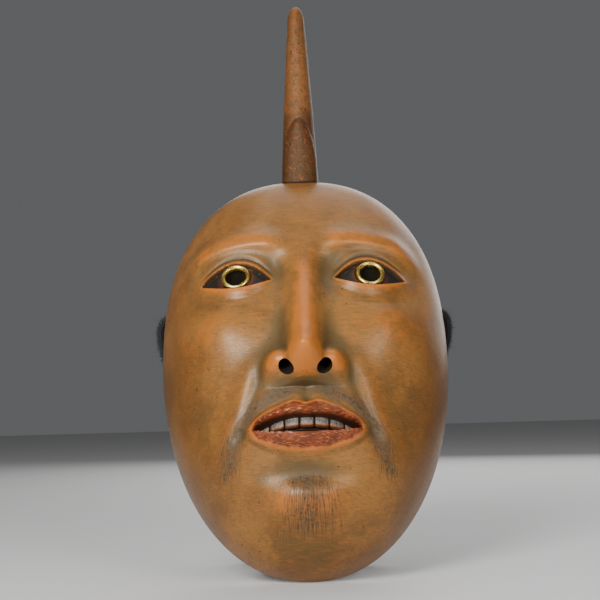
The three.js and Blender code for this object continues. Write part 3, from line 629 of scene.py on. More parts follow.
def horn_material():
    p = Paint("painted_horn")
    colour, roughness, normal = worn_paint(p, (104, 62, 28), (122, 76, 38), (160, 92, 44), (74, 58, 38))
    # darker towards the foot
    foot_darkening = p.plus(p.attribute("up"), p.ramp(p.noise(9, 4, 0.6), 0.3, 0.7, -0.12, 0.12))
    mottle = p.noise(2.1, 4, 0.65, p.stretched(1, 1, 0.6))
    speckle = p.noise(0.8, 3, 0.6, p.stretched(1, 1, 0.7))
    spots = p.times(p.ramp(p.cells(2.7), 0.24, 0.13), p.ramp(p.noise(6, 2), 0.44, 0.58))
    long_grain = p.noise(1.6, 4, 0.6, p.stretched(4, 4, 0.35))
    colour = p.coats(colour, (foot_darkening, 0.55, 0.12, 0.8, (60, 32, 12)))
    colour = p.touches(colour, (p.attribute("spur_shade"), 0.6, (70, 38, 18)))
    colour = p.coats(
        colour,
        (mottle, 0.52, 0.64, 0.7, (80, 63, 38)),
        (mottle, 0.44, 0.32, 0.6, (140, 76, 34)),
        (speckle, 0.57, 0.68, 0.75, (40, 27, 16)),
    )
    colour = p.touches(colour, (spots, 0.75, (38, 25, 16)))
    colour = p.coats(colour, (long_grain, 0.56, 0.7, 0.4, (48, 32, 20)))
    colour = p.mix(p.attribute("foot"), colour, (26, 17, 11))
    normal = p.relief(p.plus(long_grain, speckle), 0.3, 0.6, normal)
    return p.finish(colour, p.plus(roughness, 0.06), normal, Specular_IOR_Level=0.3,
                    Specular_Tint=WARM_SHINE)


def metal_material():
    p = Paint("gilt_metal")
    tarnish = p.ramp(p.noise(3.4, 4, 0.6), 0.42, 0.72)
    colour = p.mix(tarnish, (234, 206, 110), (198, 168, 84))
    colour = p.coats(colour, (p.attribute("low"), 0.55, 1.0, 0.8, (52, 38, 22)))
    hammered = p.cells(1.1, None, "SMOOTH_F1")
    return p.finish(colour, p.ramp(tarnish, 0, 1, 0.24, 0.46), p.relief(hammered, 0.01), Metallic=1.0)


def teeth_material():
    p = Paint("silvered_teeth")
    streak = p.noise(0.8, 4, 0.6, p.stretched(3, 3, 0.45))
    gap = p.attribute("gap")
    wear = p.plus(p.attribute("edge"), p.ramp(p.noise(1.2, 4, 0.7), 0.3, 0.7, -0.2, 0.2))
    colour = p.coats(
        p.mix(p.ramp(streak, 0.38, 0.62), (62, 58, 54), (118, 112, 104)),
        (p.noise(1.7, 4, 0.7), 0.54, 0.68, 0.6, (66, 56, 48)),
        # darker towards the gaps between the teeth: painted shade
        (gap, 0.02, 0.5, 0.55, (52, 46, 42)),
        (wear, 0.7, 0.95, 0.85, (150, 88, 44)),
        # near-black in the gaps: painted shade
        (gap, 0.4, 0.9, 1, (22, 15, 11)),
    )
    return p.finish(colour, p.ramp(streak, 0.3, 0.7, 0.3, 0.46), p.relief(streak, 0.16), Metallic=0.4)


def bare_wood_material():
    p = Paint("bare_cypress")
    rings = p.noise(1.7, 3, 0.55, p.stretched(1, 1, 0.06), 1.2)
    colour = p.mix(p.ramp(rings, 0.4, 0.6), (198, 164, 112), (152, 112, 66))
    colour = p.coats(colour, (p.noise(6, 4), 0.5, 0.75, 0.5, (112, 78, 44)))
    fibre = p.noise(0.5, 2, 0.5, p.stretched(1, 1, 0.05))
    return p.finish(colour, p.ramp(fibre, 0.3, 0.7, 0.5, 0.7), p.relief(fibre, 0.12))


def hair_paint_material():
    p = Paint("ink_strokes")
    worn = p.noise(1.4, 4, 0.65)
    colour = p.mix(p.ramp(worn, 0.36, 0.6), (46, 40, 34), (88, 68, 44))
    return p.finish(colour, p.ramp(worn, 0.3, 0.7, 0.4, 0.6), p.relief(worn, 0.05), Specular_Tint=WARM_SHINE)


def braid_material(name, dark, light, pitch=3.4, strands=8):
    """Braided cord: crossing helical strands, laid out by the "around" and "along" attributes."""
    p = Paint(name, leaning=False)
    around = p.attribute("around")
    along = p.attribute("along")
    heights = []
    for turn in (1, -1):
        phase = p.plus(p.times(around, strands / 2), p.times(along, turn / pitch * 2))
        wave = p.maths("SINE", p.times(phase, 2 * math.pi))
        heights.append(p.ramp(wave, -0.6, 0.9))
    checker = p.maths("SINE", p.times(p.times(along, 2 / pitch), 2 * math.pi))
    over = p.ramp(checker, -0.2, 0.2)
    weave = p.plus(p.times(heights[0], over), p.times(heights[1], p.maths("SUBTRACT", 1.0, over)))
    fibre = p.noise(0.22, 3, 0.6)
    # darker in the dips between the strands and lighter on their crowns: painted shade and painted light
    colour = p.mix(p.ramp(weave, 0.1, 0.9), dark, light)
    colour = p.coats(colour, (p.noise(0.5, 4, 0.7), 0.55, 0.75, 0.5, light))
    height = p.plus(p.times(weave, 0.75), p.times(fibre, 0.25))
    return p.finish(colour, p.ramp(fibre, 0.3, 0.7, 0.62, 0.85), p.relief(height, 0.42),
                    Sheen_Weight=0.25, Sheen_Roughness=0.5, Sheen_Tint=(0.5, 0.5, 0.55, 1))


def nap_material():
    p = Paint("cord_nap", leaning=False)
    return p.finish(p.mix(p.ramp(p.noise(3, 3), 0.4, 0.6), (5, 5, 6), (16, 16, 19)), 0.8)


def cloth_material():
    p = Paint("pad_cotton")
    place = p.node("SeparateXYZ", Vector=p.place).outputs
    warp, weft = (p.maths("SINE", p.times(place[axis], 2 * math.pi / WEAVE_PITCH)) for axis in (0, 2))
    weave = p.plus(p.ramp(warp, -1, 1, 0, 0.5), p.ramp(weft, -1, 1, 0, 0.5))
    colour = p.mix(p.ramp(p.noise(9, 4, 0.6), 0.4, 0.7), (196, 180, 146), (146, 122, 86))
    # darker between the threads of the weave: painted shade
    colour = p.coats(colour, (weave, 0.3, 0.05, 0.4, (110, 92, 66)))
    height = p.plus(weave, p.times(p.noise(2.5, 4), 0.8))
    return p.finish(colour, 0.9, p.relief(height, 0.25), Sheen_Weight=0.3, Sheen_Roughness=0.6)


# ---- making and cutting solids --------------------------------------------------------------------
def baked(obj):
    """Applies the object's modifiers to its mesh."""
    shown = obj.evaluated_get(bpy.context.evaluated_depsgraph_get())
    mesh = bpy.data.meshes.new_from_object(shown)
    obj.modifiers.clear()
    old, obj.data = obj.data, mesh
    bpy.data.meshes.remove(old)
    return obj


def combine(obj, others, operation="DIFFERENCE"):
    for other in others:
        step = obj.modifiers.new("combine", "BOOLEAN")
        step.operation, step.solver, step.object = operation, "MANIFOLD", other
    baked(obj)
    for other in others:
        bpy.data.objects.remove(other)
    return obj


def revolve(name, profile, sides, placement, material=None, smooth_angle=None, closed=False):
    """A solid of revolution about its own z, from (radius, height) pairs in millimetres."""
    points = [placement @ Vector((r * math.cos(a), r * math.sin(a), h))
              for r, h in profile for a in ring_angles(sides)]
    faces = capped_faces(len(profile), sides)
    if closed:  # the last ring joins the first, in place of the two caps
        last = (len(profile) - 1) * sides
        faces[-2:] = [(last + c, last + (c + 1) % sides, (c + 1) % sides, c) for c in range(sides)]
    return mesh_object(name, points, faces, material, smooth_angle)


def along_axis(start, direction):
    """The matrix that puts the z axis at start, along direction."""
    turn = Vector((0, 0, 1)).rotation_difference(Vector(direction)).to_matrix().to_4x4()
    return Matrix.Translation(Vector(start)) @ turn


def rod(start, direction, length, radius, end_radius=None, sides=64):
    """A cutting rod, given in the mask's frame."""
    profile = [(radius, 0), (end_radius or radius, length)]
    return revolve("cutter", profile, sides, LEAN_MM @ along_axis(start, direction))


def set_attributes(obj, domain="POINT", **layers):
    for name, values in layers.items():
        layer = obj.data.attributes.new(name, "FLOAT", domain)
        layer.data.foreach_set("value", np.ascontiguousarray(values, dtype=np.float32))


def positions(obj, of="vertices", what="co"):
    """The object's points or face centres, in millimetres of the row frame."""
    parts = getattr(obj.data, of)
    flat = np.empty(len(parts) * 3)
    parts.foreach_get(what, flat)
    return flat.reshape(-1, 3) / MM


def mask_frame(points):
    """Points of the row frame, in the mask's own frame."""
    c, s = math.cos(LEAN), math.sin(LEAN)
    x, y, z = points[:, 0], points[:, 1] + CENTRE_Y, points[:, 2]
    return x, y * c - z * s, y * s + z * c


# ---- mask shell -----------------------------------------------------------------------------------
def front_normal(x, z):
    d = 1.5
    slope_x = (front_depth(x + d, z) - front_depth(x - d, z)) / (2 * d)
    slope_z = (front_depth(x, z + d) - front_depth(x, z - d)) / (2 * d)
    return Vector((-float(slope_x), -1, -float(slope_z))).normalized()


def ring_seat(side):
    """The flat seat of an eye ring: its middle and the way it faces."""
    x = side * EYE["x"]
    facing = (0.4 * front_normal(x, EYE["z"]) + Vector((0, -0.6, -0.06))).normalized()
    middle = Vector((x, -float(front_depth(x, EYE["z"])), EYE["z"]))
    return middle - 0.9 * facing, facing


def hole_direction(side):
    """The way an ear hole runs, outwards."""
    return Vector((side, CORD_HOLE["back"], -CORD_HOLE["down"])).normalized()


def hole_point(side, along):
    """A place on an ear hole's middle line, measured outwards from its outer end."""
    mouth = Vector((side * CORD_HOLE["x"], -CORD_HOLE["depth"], CORD_HOLE["z"]))
    return mouth + along * hole_direction(side)


def box_object(name, low, high, placement, material=None, bevel=0.0):
    corners = [(x, y, z) for z in (low[2], high[2]) for y in (low[1], high[1]) for x in (low[0], high[0])]
    points = [tuple(placement @ Vector(c)) for c in corners]
    faces = [(0, 2, 3, 1), (4, 5, 7, 6), (0, 1, 5, 4), (2, 6, 7, 3), (0, 4, 6, 2), (1, 3, 7, 5)]
    obj = mesh_object(name, points, faces, material)
    if bevel:
        step = obj.modifiers.new("bevel", "BEVEL")
        step.width, step.segments = bevel * MM, 3
        baked(obj)
        obj.data.set_sharp_from_angle(angle=math.radians(40))
    return obj


def tenon_cutter(low, high):
    """A cutting box of the tenon's section and its clearance, on the horn's seat."""
    w, d = TENON["half_width"] + GAP, TENON["half_depth"] + GAP
    return box_object("cutter", (-w, -d, low), (w, d, high), HORN_SEAT)


def mouth_cutter():
    slot = MOUTH_SLOT
    start = (0, -float(front_depth(0, slot["z"])) - slot["before"], slot["z"])
    placement = LEAN_MM @ Matrix.Translation(start) @ Matrix.Rotation(math.radians(-slot["slope"]), 4, "X")
    w, h = slot["half_width"], slot["half_height"]
    return box_object("cutter", (-w, 0, -h), (w, slot["length"], h), placement)


def horn_foot_cutter():
    foot = HORN_FOOT
    placement = HORN_SEAT @ Matrix.Translation((0, -foot["forward"], -GAP))
    profile = [(foot["radius"], 0), (foot["top_radius"], foot["height"])]
    return revolve("cutter", profile, 96, placement @ Matrix.Diagonal((1, foot["flatness"], 1, 1)))


def nostril_line(side):
    """Where the nostril's middle line meets the face, and its direction."""
    x, z = side * NOSTRIL["x"], NOSTRIL["z"]
    return Vector((x, -float(front_depth(x, z)), z)), Vector(NOSTRIL["direction"]).normalized()


def nostril_cutter(side):
    mouth, inwards = nostril_line(side)
    return rod(mouth - NOSTRIL["before"] * inwards, inwards, NOSTRIL["before"] + NOSTRIL["deep"],
               NOSTRIL["radius"], NOSTRIL["end_radius"])


def pupil_line(side):
    """The middle of the eye ring's seat, and the direction of the hole, which drops inwards."""
    middle, facing = ring_seat(side)
    return middle, (Vector((0, 0, -PUPIL["drop"])) - facing).normalized()


def pupil_cutter(side):
    middle, inwards = pupil_line(side)
    return rod(middle - PUPIL["before"] * inwards, inwards, PUPIL["length"], PUPIL["front"], PUPIL["back"])


def blurred(field, sigma):
    """A raster blurred by a Gaussian of sigma cells."""
    reach = int(3 * sigma) + 1
    weights = np.exp(-0.5 * (np.arange(-reach, reach + 1) / sigma) ** 2)
    weights /= weights.sum()
    for axis in (0, 1):
        padded = np.pad(field, [(reach, reach) if a == axis else (0, 0) for a in (0, 1)], mode="edge")
        field = sum(w * np.take(padded, np.arange(k, k + field.shape[axis]), axis)
                    for k, w in enumerate(weights))
    return field


def relief_maps():
    """How far each place of the face stands proud of its wide and of its near surroundings."""
    step = 0.5
    xs = np.arange(-70, 70 + step, step)
    zs = np.arange(-1, 213 + step, step)
    x, z = np.meshgrid(xs, zs, indexing="ij")
    radius = oval_radius(x, z, HALF_WIDTH, 0, MASK_HEIGHT)
    features = front_depth(x, z) - SHELL_DEPTH * dome(radius)
    wide = features - blurred(features, 5 / step)
    near = features - blurred(features, 1.1 / step)

    def sample(field, px, pz):
        u = np.clip((px - xs[0]) / step, 0, len(xs) - 1.001)
        v = np.clip((pz - zs[0]) / step, 0, len(zs) - 1.001)
        i, j = u.astype(int), v.astype(int)
        a, b = u - i, v - j
        low = field[i, j] * (1 - a) + field[i + 1, j] * a
        high = field[i, j + 1] * (1 - a) + field[i + 1, j + 1] * a
        return low * (1 - b) + high * b

    return lambda px, pz: (sample(wide, px, pz), sample(near, px, pz))


def hole_walls(x, y, z):
    """1 on the walls of the pupil holes and nostrils, which are painted near-black as shade, and 0
    elsewhere.
    """
    dark = np.zeros(len(x))
    inside = (-y < front_depth(x, z) - 0.35) & (-y > back_depth(x, z) + 0.4)  # clear of both surfaces
    for side in SIDES.values():
        holes = [(*pupil_line(side), RING["inner"] + 0.6), (*nostril_line(side), NOSTRIL["radius"] + 0.3)]
        for start, inwards, reach in holes:
            offset = np.stack([x, y, z], axis=1) - np.array(start)
            along = offset @ np.array(inwards)
            away = np.linalg.norm(offset - along[:, None] * np.array(inwards), axis=1)
            dark[(away < reach) & (along > 0.2) & inside] = 1
    return dark


def cut_holes(shell):
    cutters = [mouth_cutter(), tenon_cutter(-TENON["in_mask"] - 12, 12), horn_foot_cutter()]
    for side in SIDES.values():
        cutters += [
            rod(*ring_seat(side), length=6, radius=RING["outer"] + GAP),
            pupil_cutter(side),
            nostril_cutter(side),
            rod(hole_point(side, -CORD_HOLE["inside"]), hole_direction(side),
                CORD_HOLE["inside"] + CORD_HOLE["outside"], CORD_HOLE["radius"], sides=32),
        ]
    combine(shell, cutters)


def mark_shell(shell):
    """Marks the places of the paints on the shell, for its material."""
    x, y, z = mask_frame(positions(shell))
    side = np.abs(x)
    wide, near = relief_maps()(x, z)
    top, bottom, lip_top, lip_bottom = mouth_edges(x)
    edge_fade = 8 * smooth(MOUTH["half_width"] - 3, MOUTH["half_width"] + 3, side)
    radius = oval_radius(x, z, HALF_WIDTH, 0, MASK_HEIGHT)
    wash = 0.9 * spot(x, z, 0, 24, 7.5, 9)
    for place in ((13, 63, 9, 3.5), (25, 57, 7, 5), (32, 45, 4.5, 8)):
        wash += spot(side, z, *place)
    set_attributes(
        shell,
        ridge=np.clip(wide / 2.4, -1, 1),
        fine=np.clip(near / 0.55, -1, 1),
        inner=np.abs(-y - front_depth(x, z)) >= 0.12,
        # painted shade on the lower sides and jaws, towards the outline
        outline=np.clip(radius, 0, 1) * smooth(170, 90, z) * smooth(8, 48, side),
        wash=np.clip(wash, 0, 1),
        eye=eye_opening(x, z),
        ring_distance=np.hypot(side - EYE["x"], z - EYE["z"]),
        lip=np.minimum(lip_top - z, z - lip_bottom) - edge_fade,
        mouth=np.minimum(top - z, z - bottom) - edge_fade,
    )
    # near-black on the walls of the pupil holes and nostrils: painted shade
    set_attributes(shell, "FACE", dark_hole=hole_walls(*mask_frame(positions(shell, "polygons", "center"))))


def make_shell():
    points, faces = shell_blank(rows=330, front_columns=250, back_columns=90)
    shell = mesh_object("carved_face", upright(points), faces, shell_material())
    cut_holes(shell)
    mark_shell(shell)
    shell.data.set_sharp_from_angle(angle=math.radians(38))
    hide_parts("mask_shell")
    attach(shell, "mask")


# ---- strokes of painted hair ----------------------------------------------------------------------
def ribbon(points, widths, lift):
    """A thin strip on the face along (x, z) points: its points in the mask's frame, and faces."""
    points = np.asarray(points, float)
    along = unit(np.gradient(points, axis=0))
    across = np.stack([-along[:, 1], along[:, 0]], axis=1) * np.asarray(widths)[:, None] / 2
    rows = []
    for share in (-1, 0, 1):
        p = points + share * across
        rise = lift if share == 0 else lift * 0.3
        rows.append(np.stack([p[:, 0], -front_depth(p[:, 0], p[:, 1]) - rise, p[:, 1]], axis=1))
    return np.concatenate(rows), grid_faces(3, len(points))


def stroke(start, direction, length, bend, width):
    """A bent stroke that swells in its middle: its (x, z) points, and its width at each."""
    t = np.linspace(0, 1, 8)
    dx, dz = direction
    x = start[0] + length * (dx * t - dz * bend * t**2)
    z = start[1] + length * (dz * t + dx * bend * t**2)
    return np.stack([x, z], axis=1), width * (np.sin(math.pi * (0.08 + 0.9 * t)) ** 0.6)


MOUSTACHE_FALL = [(5, 65.5), (14, 64), (22, 60.5), (29, 54), (33, 45), (35, 34)]  # (x, z) on one side
MOUSTACHE_STROKES = 520  # on each side
CHIN_STROKES = 560
STROKE_RISE = 0.05
NEAR_LIPS = dict(x=27.5, margin=1.2)  # where no stroke is drawn
STROKE_LIMIT = 40  # the furthest x


def make_hair_strokes():
    """Fine faded strokes: a moustache that falls beside the mouth, and a soft patch on the chin."""
    draw = random.Random(7)
    strokes = []
    fall = np.array(MOUSTACHE_FALL)
    for side in SIDES.values():
        for _ in range(MOUSTACHE_STROKES):
            t = draw.random() * 4.8
            i = int(t)
            ahead = unit(fall[i + 1] - fall[i])
            across = np.array([-ahead[1], ahead[0]])
            where = fall[i] + (fall[i + 1] - fall[i]) * (t - i) + across * draw.gauss(0.3, 2.1)
            turn = math.radians(draw.uniform(-10, 10) - 24 * (1 - t / 5))
            dx = ahead[0] * math.cos(turn) - ahead[1] * math.sin(turn)
            dz = ahead[0] * math.sin(turn) + ahead[1] * math.cos(turn)
            strokes.append(stroke((side * where[0], where[1]), (side * dx, dz), draw.uniform(3, 6.5),
                                  -side * 0.08, draw.uniform(0.1, 0.2)))
    for _ in range(CHIN_STROKES):
        x = draw.gauss(0, 5.2)
        z = 33 - 20 * draw.random() ** 1.3 - 0.02 * x * x
        strokes.append(stroke((x, z), (0.012 * x + draw.uniform(-0.06, 0.06), -1), draw.uniform(2.5, 6),
                              draw.uniform(-0.04, 0.04), draw.uniform(0.1, 0.2)))
    points, faces, count = [], [], 0
    for line, widths in strokes:
        x, z = line[:, 0], line[:, 1]
        _, _, lip_top, lip_bottom = mouth_edges(x)
        margin = NEAR_LIPS["margin"]
        on_lip = (z < lip_top + margin) & (z > lip_bottom - margin) & (np.abs(x) < NEAR_LIPS["x"])
        if on_lip.any() or np.abs(x).max() > STROKE_LIMIT:
            continue
        strip, quads = ribbon(line, widths, STROKE_RISE)
        faces += [[v + count for v in quad] for quad in quads]
        points.append(strip)
        count += len(strip)
    hairs = mesh_object("painted_hair", upright(np.concatenate(points)), faces, hair_paint_material())
    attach(hairs, "mask")


# ---- teeth ----------------------------------------------------------------------------------------
def make_teeth():
    """One strip of teeth: each has a rounded face, a softly rounded biting edge and a gap beside it."""
    t = TEETH
    across, up = 200, 26
    u = np.linspace(-1, 1, across)
    x = u * t["half_width"]
    depth = t["middle_depth"] - t["fall_back"] * u**2
    tooth = 2 * np.abs(((u * t["count"] / 2) + 0.5) % 1 - 0.5)  # 0 in a tooth's middle, 1 in a gap
    gap = np.clip((tooth - 0.8) / 0.2, 0, 1)
    points, gaps, edges = [], [], []
    for front in (True, False):
        for share in np.linspace(0, 1, up):
            rounding = math.sqrt(max(1 - (1 - min(share / 0.3, 1)) ** 2, 0))
            low = t["bottom"] + 0.8 * tooth**4
            z = low + (t["top"] - low) * share
            if front:
                y = -depth + 0.25 + 0.9 * gap**1.3 + 0.25 * tooth**2 + 0.9 * (1 - rounding)
            else:
                y = -depth + t["thick"] - 0.2 * (1 - rounding)
            points.append(np.stack([x, y, z], axis=1))
            gaps.append(gap * front)
            edges.append(np.clip(1 - share / 0.55, 0, 1) + 0 * x)
    faces = grid_faces(up, across) + grid_faces(up, across, up * across, flip=True)
    half = up * across
    top = half - across
    for r in range(0, top, across):
        a, b = r, r + across
        faces.append([a, b, half + b, half + a])
        a, b = a + across - 1, b + across - 1
        faces.append([b, a, half + a, half + b])
    for c in range(across - 1):
        faces.append([c + 1, c, half + c, half + c + 1])
        faces.append([top + c, top + c + 1, half + top + c + 1, half + top + c])
    teeth = mesh_object("teeth_row", upright(np.concatenate(points)), faces, teeth_material(), 50)
    set_attributes(teeth, gap=np.concatenate(gaps), edge=np.concatenate(edges))
    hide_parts("upper_teeth")
    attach(teeth, "mask")


# ---- eye rings ------------------------------------------------------------------------------------
def make_eye_rings():
    """Half-round rings on a short wall, dull in the crease at their foot."""
    gilt = metal_material()
    sides = 96
    half = (RING["outer"] - RING["inner"]) / 2
    middle = RING["inner"] + half
    profile = [(middle + half * math.cos(a), 0.5 + (RING["thick"] - 0.5) * math.sin(a))
               for a in np.linspace(0, math.pi, 25)]
    profile = [(RING["outer"], 0)] + profile + [(RING["inner"], 0)]
    low = [np.clip(1.2 - h / RING["thick"] * 2.2, 0, 1) for r, h in profile]
    for name, side in SIDES.items():
        seat, facing = ring_seat(side)
        placement = LEAN_MM @ along_axis(seat + GAP * facing, facing)
        ring = revolve(name + "_gilt_ring", profile, sides, placement, gilt, 50, closed=True)
        set_attributes(ring, low=np.repeat(low, sides))
        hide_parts(name + "_eye_ring")
        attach(ring, "mask")


# ---- horn -----------------------------------------------------------------------------------------
def round_tip(share, start):
    """1 up to the start of a rounded tip, and almost 0 at its end."""
    return math.sqrt(max(1 - min(max((share - start) / (1 - start), 0), 1) ** 2, 0.0004))


def tapered_bar(length, shape, rings, sides, facets=0.0):
    """A tapering bar on the horn's seat; shape gives half width, half depth and offset at each height."""
    points = []
    for ring in np.linspace(0, 1, rings):
        share = 1 - (1 - ring) ** 1.5  # the rings crowd together at the tip
        half_width, half_depth, y = shape(share)
        for a in ring_angles(sides):
            flat = 1 - facets * (1 - abs(math.cos(4 * a))) * (1 - share * 0.5)
            place = (half_width * flat * math.cos(a), y + half_depth * flat * math.sin(a), share * length)
            points.append(HORN_SEAT @ Vector(place))
    return mesh_object("bar", points, capped_faces(rings, sides))


def horn_shape(share):
    """The horn's half width, half depth and offset backwards at a share of its length."""
    tip = round_tip(share, 0.925)
    return (HORN["half_width"] * (1 - 0.59 * share**1.2) * tip,
            HORN["half_depth"] * (1 - 0.54 * share**1.2) * tip, 3 * share**2)


def spur_shape(share):
    """The same for the spur at the horn's foot."""
    return (SPUR["half_width"] * (1 - 0.12 * share) * round_tip(share, 0.3),
            SPUR["half_depth"] * (1 - 0.06 * share) * round_tip(share, 0.86), -SPUR["forward"] + 0.4 * share)


def spur_front_at(share, x):
    """How far forward the spur's front stands at a height and a distance from its middle line."""
    if not 0 <= share <= 1:
        return 99.0
    half_width, half_depth, y = spur_shape(share)
    return y - half_depth * math.sqrt(1 - (x / half_width) ** 2) if abs(x) < half_width else 99.0


def mark_horn(horn):
    """Marks the horn's height, foot and spur, for its material."""
    to_seat = HORN_SEAT.inverted()
    x, y, z = np.array([to_seat @ Vector(p) for p in positions(horn)]).T
    share = z / HORN["length"]
    on_spur = np.abs(y - [spur_front_at(h / SPUR["length"], w) for w, h in zip(x, z)]) < 0.15
    spur_half = [max(spur_shape(min(h / SPUR["length"], 1))[0], 0.1) for h in z]
    from_rim = positive(1 - np.abs(x) / spur_half)
    # lighter along the spur's rim, by the paint of bare edges: worn edges, and a painted highlight; the tip
    # is worn bare
    edge = on_spur * np.exp(-from_rim / 0.1) * smooth(6, 16, z) + 0.8 * smooth(0.95, 1, share)
    set_attributes(
        horn,
        ridge=np.clip(edge - 0.15, -1, 1),
        fine=np.zeros(len(z)),
        foot=smooth(1.1, 0.25, z),
        spur_shade=on_spur * bump(z - 0.7 * SPUR["length"], 9),
        up=share,
    )


def make_horn():
    horn = tapered_bar(HORN["length"], horn_shape, rings=260, sides=96, facets=0.012)
    combine(horn, [tapered_bar(SPUR["length"], spur_shape, rings=90, sides=80)], "UNION")
    combine(horn, [tenon_cutter(-5, TENON["in_horn"] + GAP)])
    horn.name = "horn_and_spur"
    dress(horn, horn_material())
    horn.data.set_sharp_from_angle(angle=math.radians(48))
    mark_horn(horn)
    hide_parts("horn")
    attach(horn, "horn")
    w, d = TENON["half_width"], TENON["half_depth"]
    tenon = box_object("horn_peg", (-w, -d, -TENON["in_mask"]), (w, d, TENON["in_horn"]), HORN_SEAT,
                       bare_wood_material(), bevel=0.7)
    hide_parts("horn_tenon")
    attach(tenon, "horn")


# ---- cords ----------------------------------------------------------------------------------------
COIL = dict(inner=13.9, outer=21.3, height=10.4)
KNOT_IN_COIL = dict(radius=7.2, z=KNOT["radius"] + 0.1)
WINDING = dict(turns=1.25, straight=0.9, climb=3.3, radius=2.45, core=0.2, cord_radius=1.7)
NAP = dict(length=1.9, density=2.4, half_width=0.055, root=0.1)  # density in fibres per square millimetre
TIE = dict(angle=math.radians(160), gap=0.5, z=0.6, top=0.4, pitch=1.3, radius=0.5, knot_radius=0.42)
TIE_CORNER = dict(reach=1.672, reach_inset=0.1536, corner_inset=0.64)
# The coils' middles and the cords' routes to them lie in the row frame, with CENTRE_Y still to be taken off
# y. Both routes are given for the left side, and the right one is mirrored.
COIL_PLACE = dict(left=(0, 39), right=(0, 82.5))
COIL_START = dict(left=math.radians(75), right=0)
ROUND_THE_RIM = [
    (69.8, 61.6, 119.4), (71.0, 62.9, 116.6), (71.4, 64.3, 112.8), (71.1, 65.6, 108.2), (69.6, 66.4, 102.5),
    (67.0, 66.6, 96), (64.0, 66.0, 88.5),
]
TO_THE_COIL = dict(
    left=[
        (60.0, 63.8, 74), (56.2, 61.2, 60), (51.6, 58.0, 46), (46.6, 54.8, 33), (41.0, 52.0, 21.5),
        (35.2, 50.6, 12), (29.0, 50.9, 5.6), (22.6, 52.6, 2.4), (14.6, 55.0, 1.85),
    ],
    right=[
        (60.2, 66.2, 74), (56.2, 67.0, 60), (51.2, 67.9, 46), (45.6, 69.0, 33), (39.8, 70.2, 21.5),
        (34.0, 71.4, 12), (28.4, 73.2, 5.4), (23.4, 76.2, 2.3),
    ],
)


def smooth_path(points, spacing):
    """A centripetal Catmull-Rom curve through the points, as points evenly spaced along it."""
    p = np.asarray(points, float)
    p = np.concatenate([[2 * p[0] - p[1]], p, [2 * p[-1] - p[-2]]])
    knots = np.concatenate([[0], np.cumsum(np.linalg.norm(np.diff(p, axis=0), axis=1) ** 0.5)])
    curve = []
    for i in range(1, len(p) - 2):
        at = knots[i - 1:i + 3]
        t = np.linspace(at[1], at[2], 40, endpoint=False)[:, None]
        stages = [p[i - 1], p[i], p[i + 1], p[i + 2]]
        for starts, ends in (((0, 1, 2), (1, 2, 3)), ((0, 1), (2, 3)), ((1,), (2,))):
            stages = [(at[e] - t) / (at[e] - at[s]) * a + (t - at[s]) / (at[e] - at[s]) * b
                      for s, e, a, b in zip(starts, ends, stages, stages[1:])]
        curve.append(stages[0])
    curve = np.concatenate(curve + [p[-2:-1]])
    lengths = lengths_along(curve)
    even = np.linspace(0, lengths[-1], max(int(lengths[-1] / spacing), 2))
    return np.stack([np.interp(even, lengths, curve[:, k]) for k in range(3)], axis=1)


def tube(name, path, radius, material, sides=20, taper=0.0):
    """A closed tube along a path, with "around" from 0 to 1 and "along" in millimetres for its weave."""
    tangents = unit(np.gradient(path, axis=0))
    normal = np.cross(tangents[0], (0, 0, 1) if abs(tangents[0][2]) < 0.9 else (1, 0, 0))
    lengths = lengths_along(path)
    angles = ring_angles(sides)
    points = []
    for i, (p, t) in enumerate(zip(path, tangents)):
        normal = unit(normal - t * np.dot(normal, t))
        side = np.cross(t, normal)
        end = min(lengths[i], lengths[-1] - lengths[i])
        r = radius * (1 - taper * (1 - min(end / radius, 1)) ** 2)
        points += [p + r * (math.cos(a) * normal + math.sin(a) * side) for a in angles]
    obj = mesh_object(name, points, capped_faces(len(path), sides), material)
    around = np.abs(angles / (2 * math.pi) - 0.5) * 2
    set_attributes(obj, around=np.tile(around, len(path)), along=np.repeat(lengths, sides))
    return obj


def coil_points(side_name):
    """A neat coil, two turns wide and two high with one on top, and then inwards to the end knot."""
    d = CORD_DIAMETER
    inner, outer = COIL["inner"] + d / 2 + 0.1, COIL["outer"] - d / 2 - 0.1
    low, high, top = d / 2 + 0.05, 1.5 * d + 0.05, 1.5 * d + 3.1
    middle = (inner + outer) / 2
    stations = np.array([  # turn, radius, height
        (0, outer, low), (0.8, outer, low), (1, inner, low), (1.8, inner, low), (2, inner, high),
        (2.8, inner, high), (3, outer, high), (3.8, outer, high), (4, middle, top), (4.35, middle, top),
        (4.7, 11.6, top), (5, KNOT_IN_COIL["radius"], KNOT_IN_COIL["z"]),
    ])
    cx, cy = COIL_PLACE[side_name]
    points = []
    for turn in np.arange(5 * 24 + 1) / 24:
        after = max(int(np.searchsorted(stations[:, 0], turn)), 1)
        a, b = stations[after - 1], stations[after]
        _, radius, height = a + (b - a) * smooth(a[0], b[0], turn)
        angle = COIL_START[side_name] + turn * 2 * math.pi
        points.append((cx + radius * math.cos(angle), cy + radius * math.sin(angle), height))
    return points


def end_knot_place(side_name):
    """Middle and direction of the knot in the middle of the coil."""
    angle = COIL_START[side_name]
    cx, cy = COIL_PLACE[side_name]
    side = SIDES[side_name]
    radius = KNOT_IN_COIL["radius"]
    middle = Vector((side * (cx + radius * math.cos(angle)),
                     cy + radius * math.sin(angle) - CENTRE_Y, KNOT_IN_COIL["z"]))
    return middle, Vector((-side * math.sin(angle), math.cos(angle), 0))


def wrapped_knot(name, middle, direction, material):
    """A stopper knot: the cord is wound round itself, and its ends tuck in."""
    w = WINDING
    t = np.linspace(-w["turns"], w["turns"], 90)
    rise = np.clip(t, -w["straight"], w["straight"]) * w["climb"]
    radius = w["radius"] * smooth(w["turns"], 0.85, np.abs(t)) + w["core"]
    placement = along_axis(middle, direction)
    points = [placement @ Vector((r * math.cos(a), r * math.sin(a), h))
              for r, a, h in zip(radius, t * 2 * math.pi, rise)]
    return tube(name, np.array(points), w["cord_radius"], material, sides=16, taper=0.5)


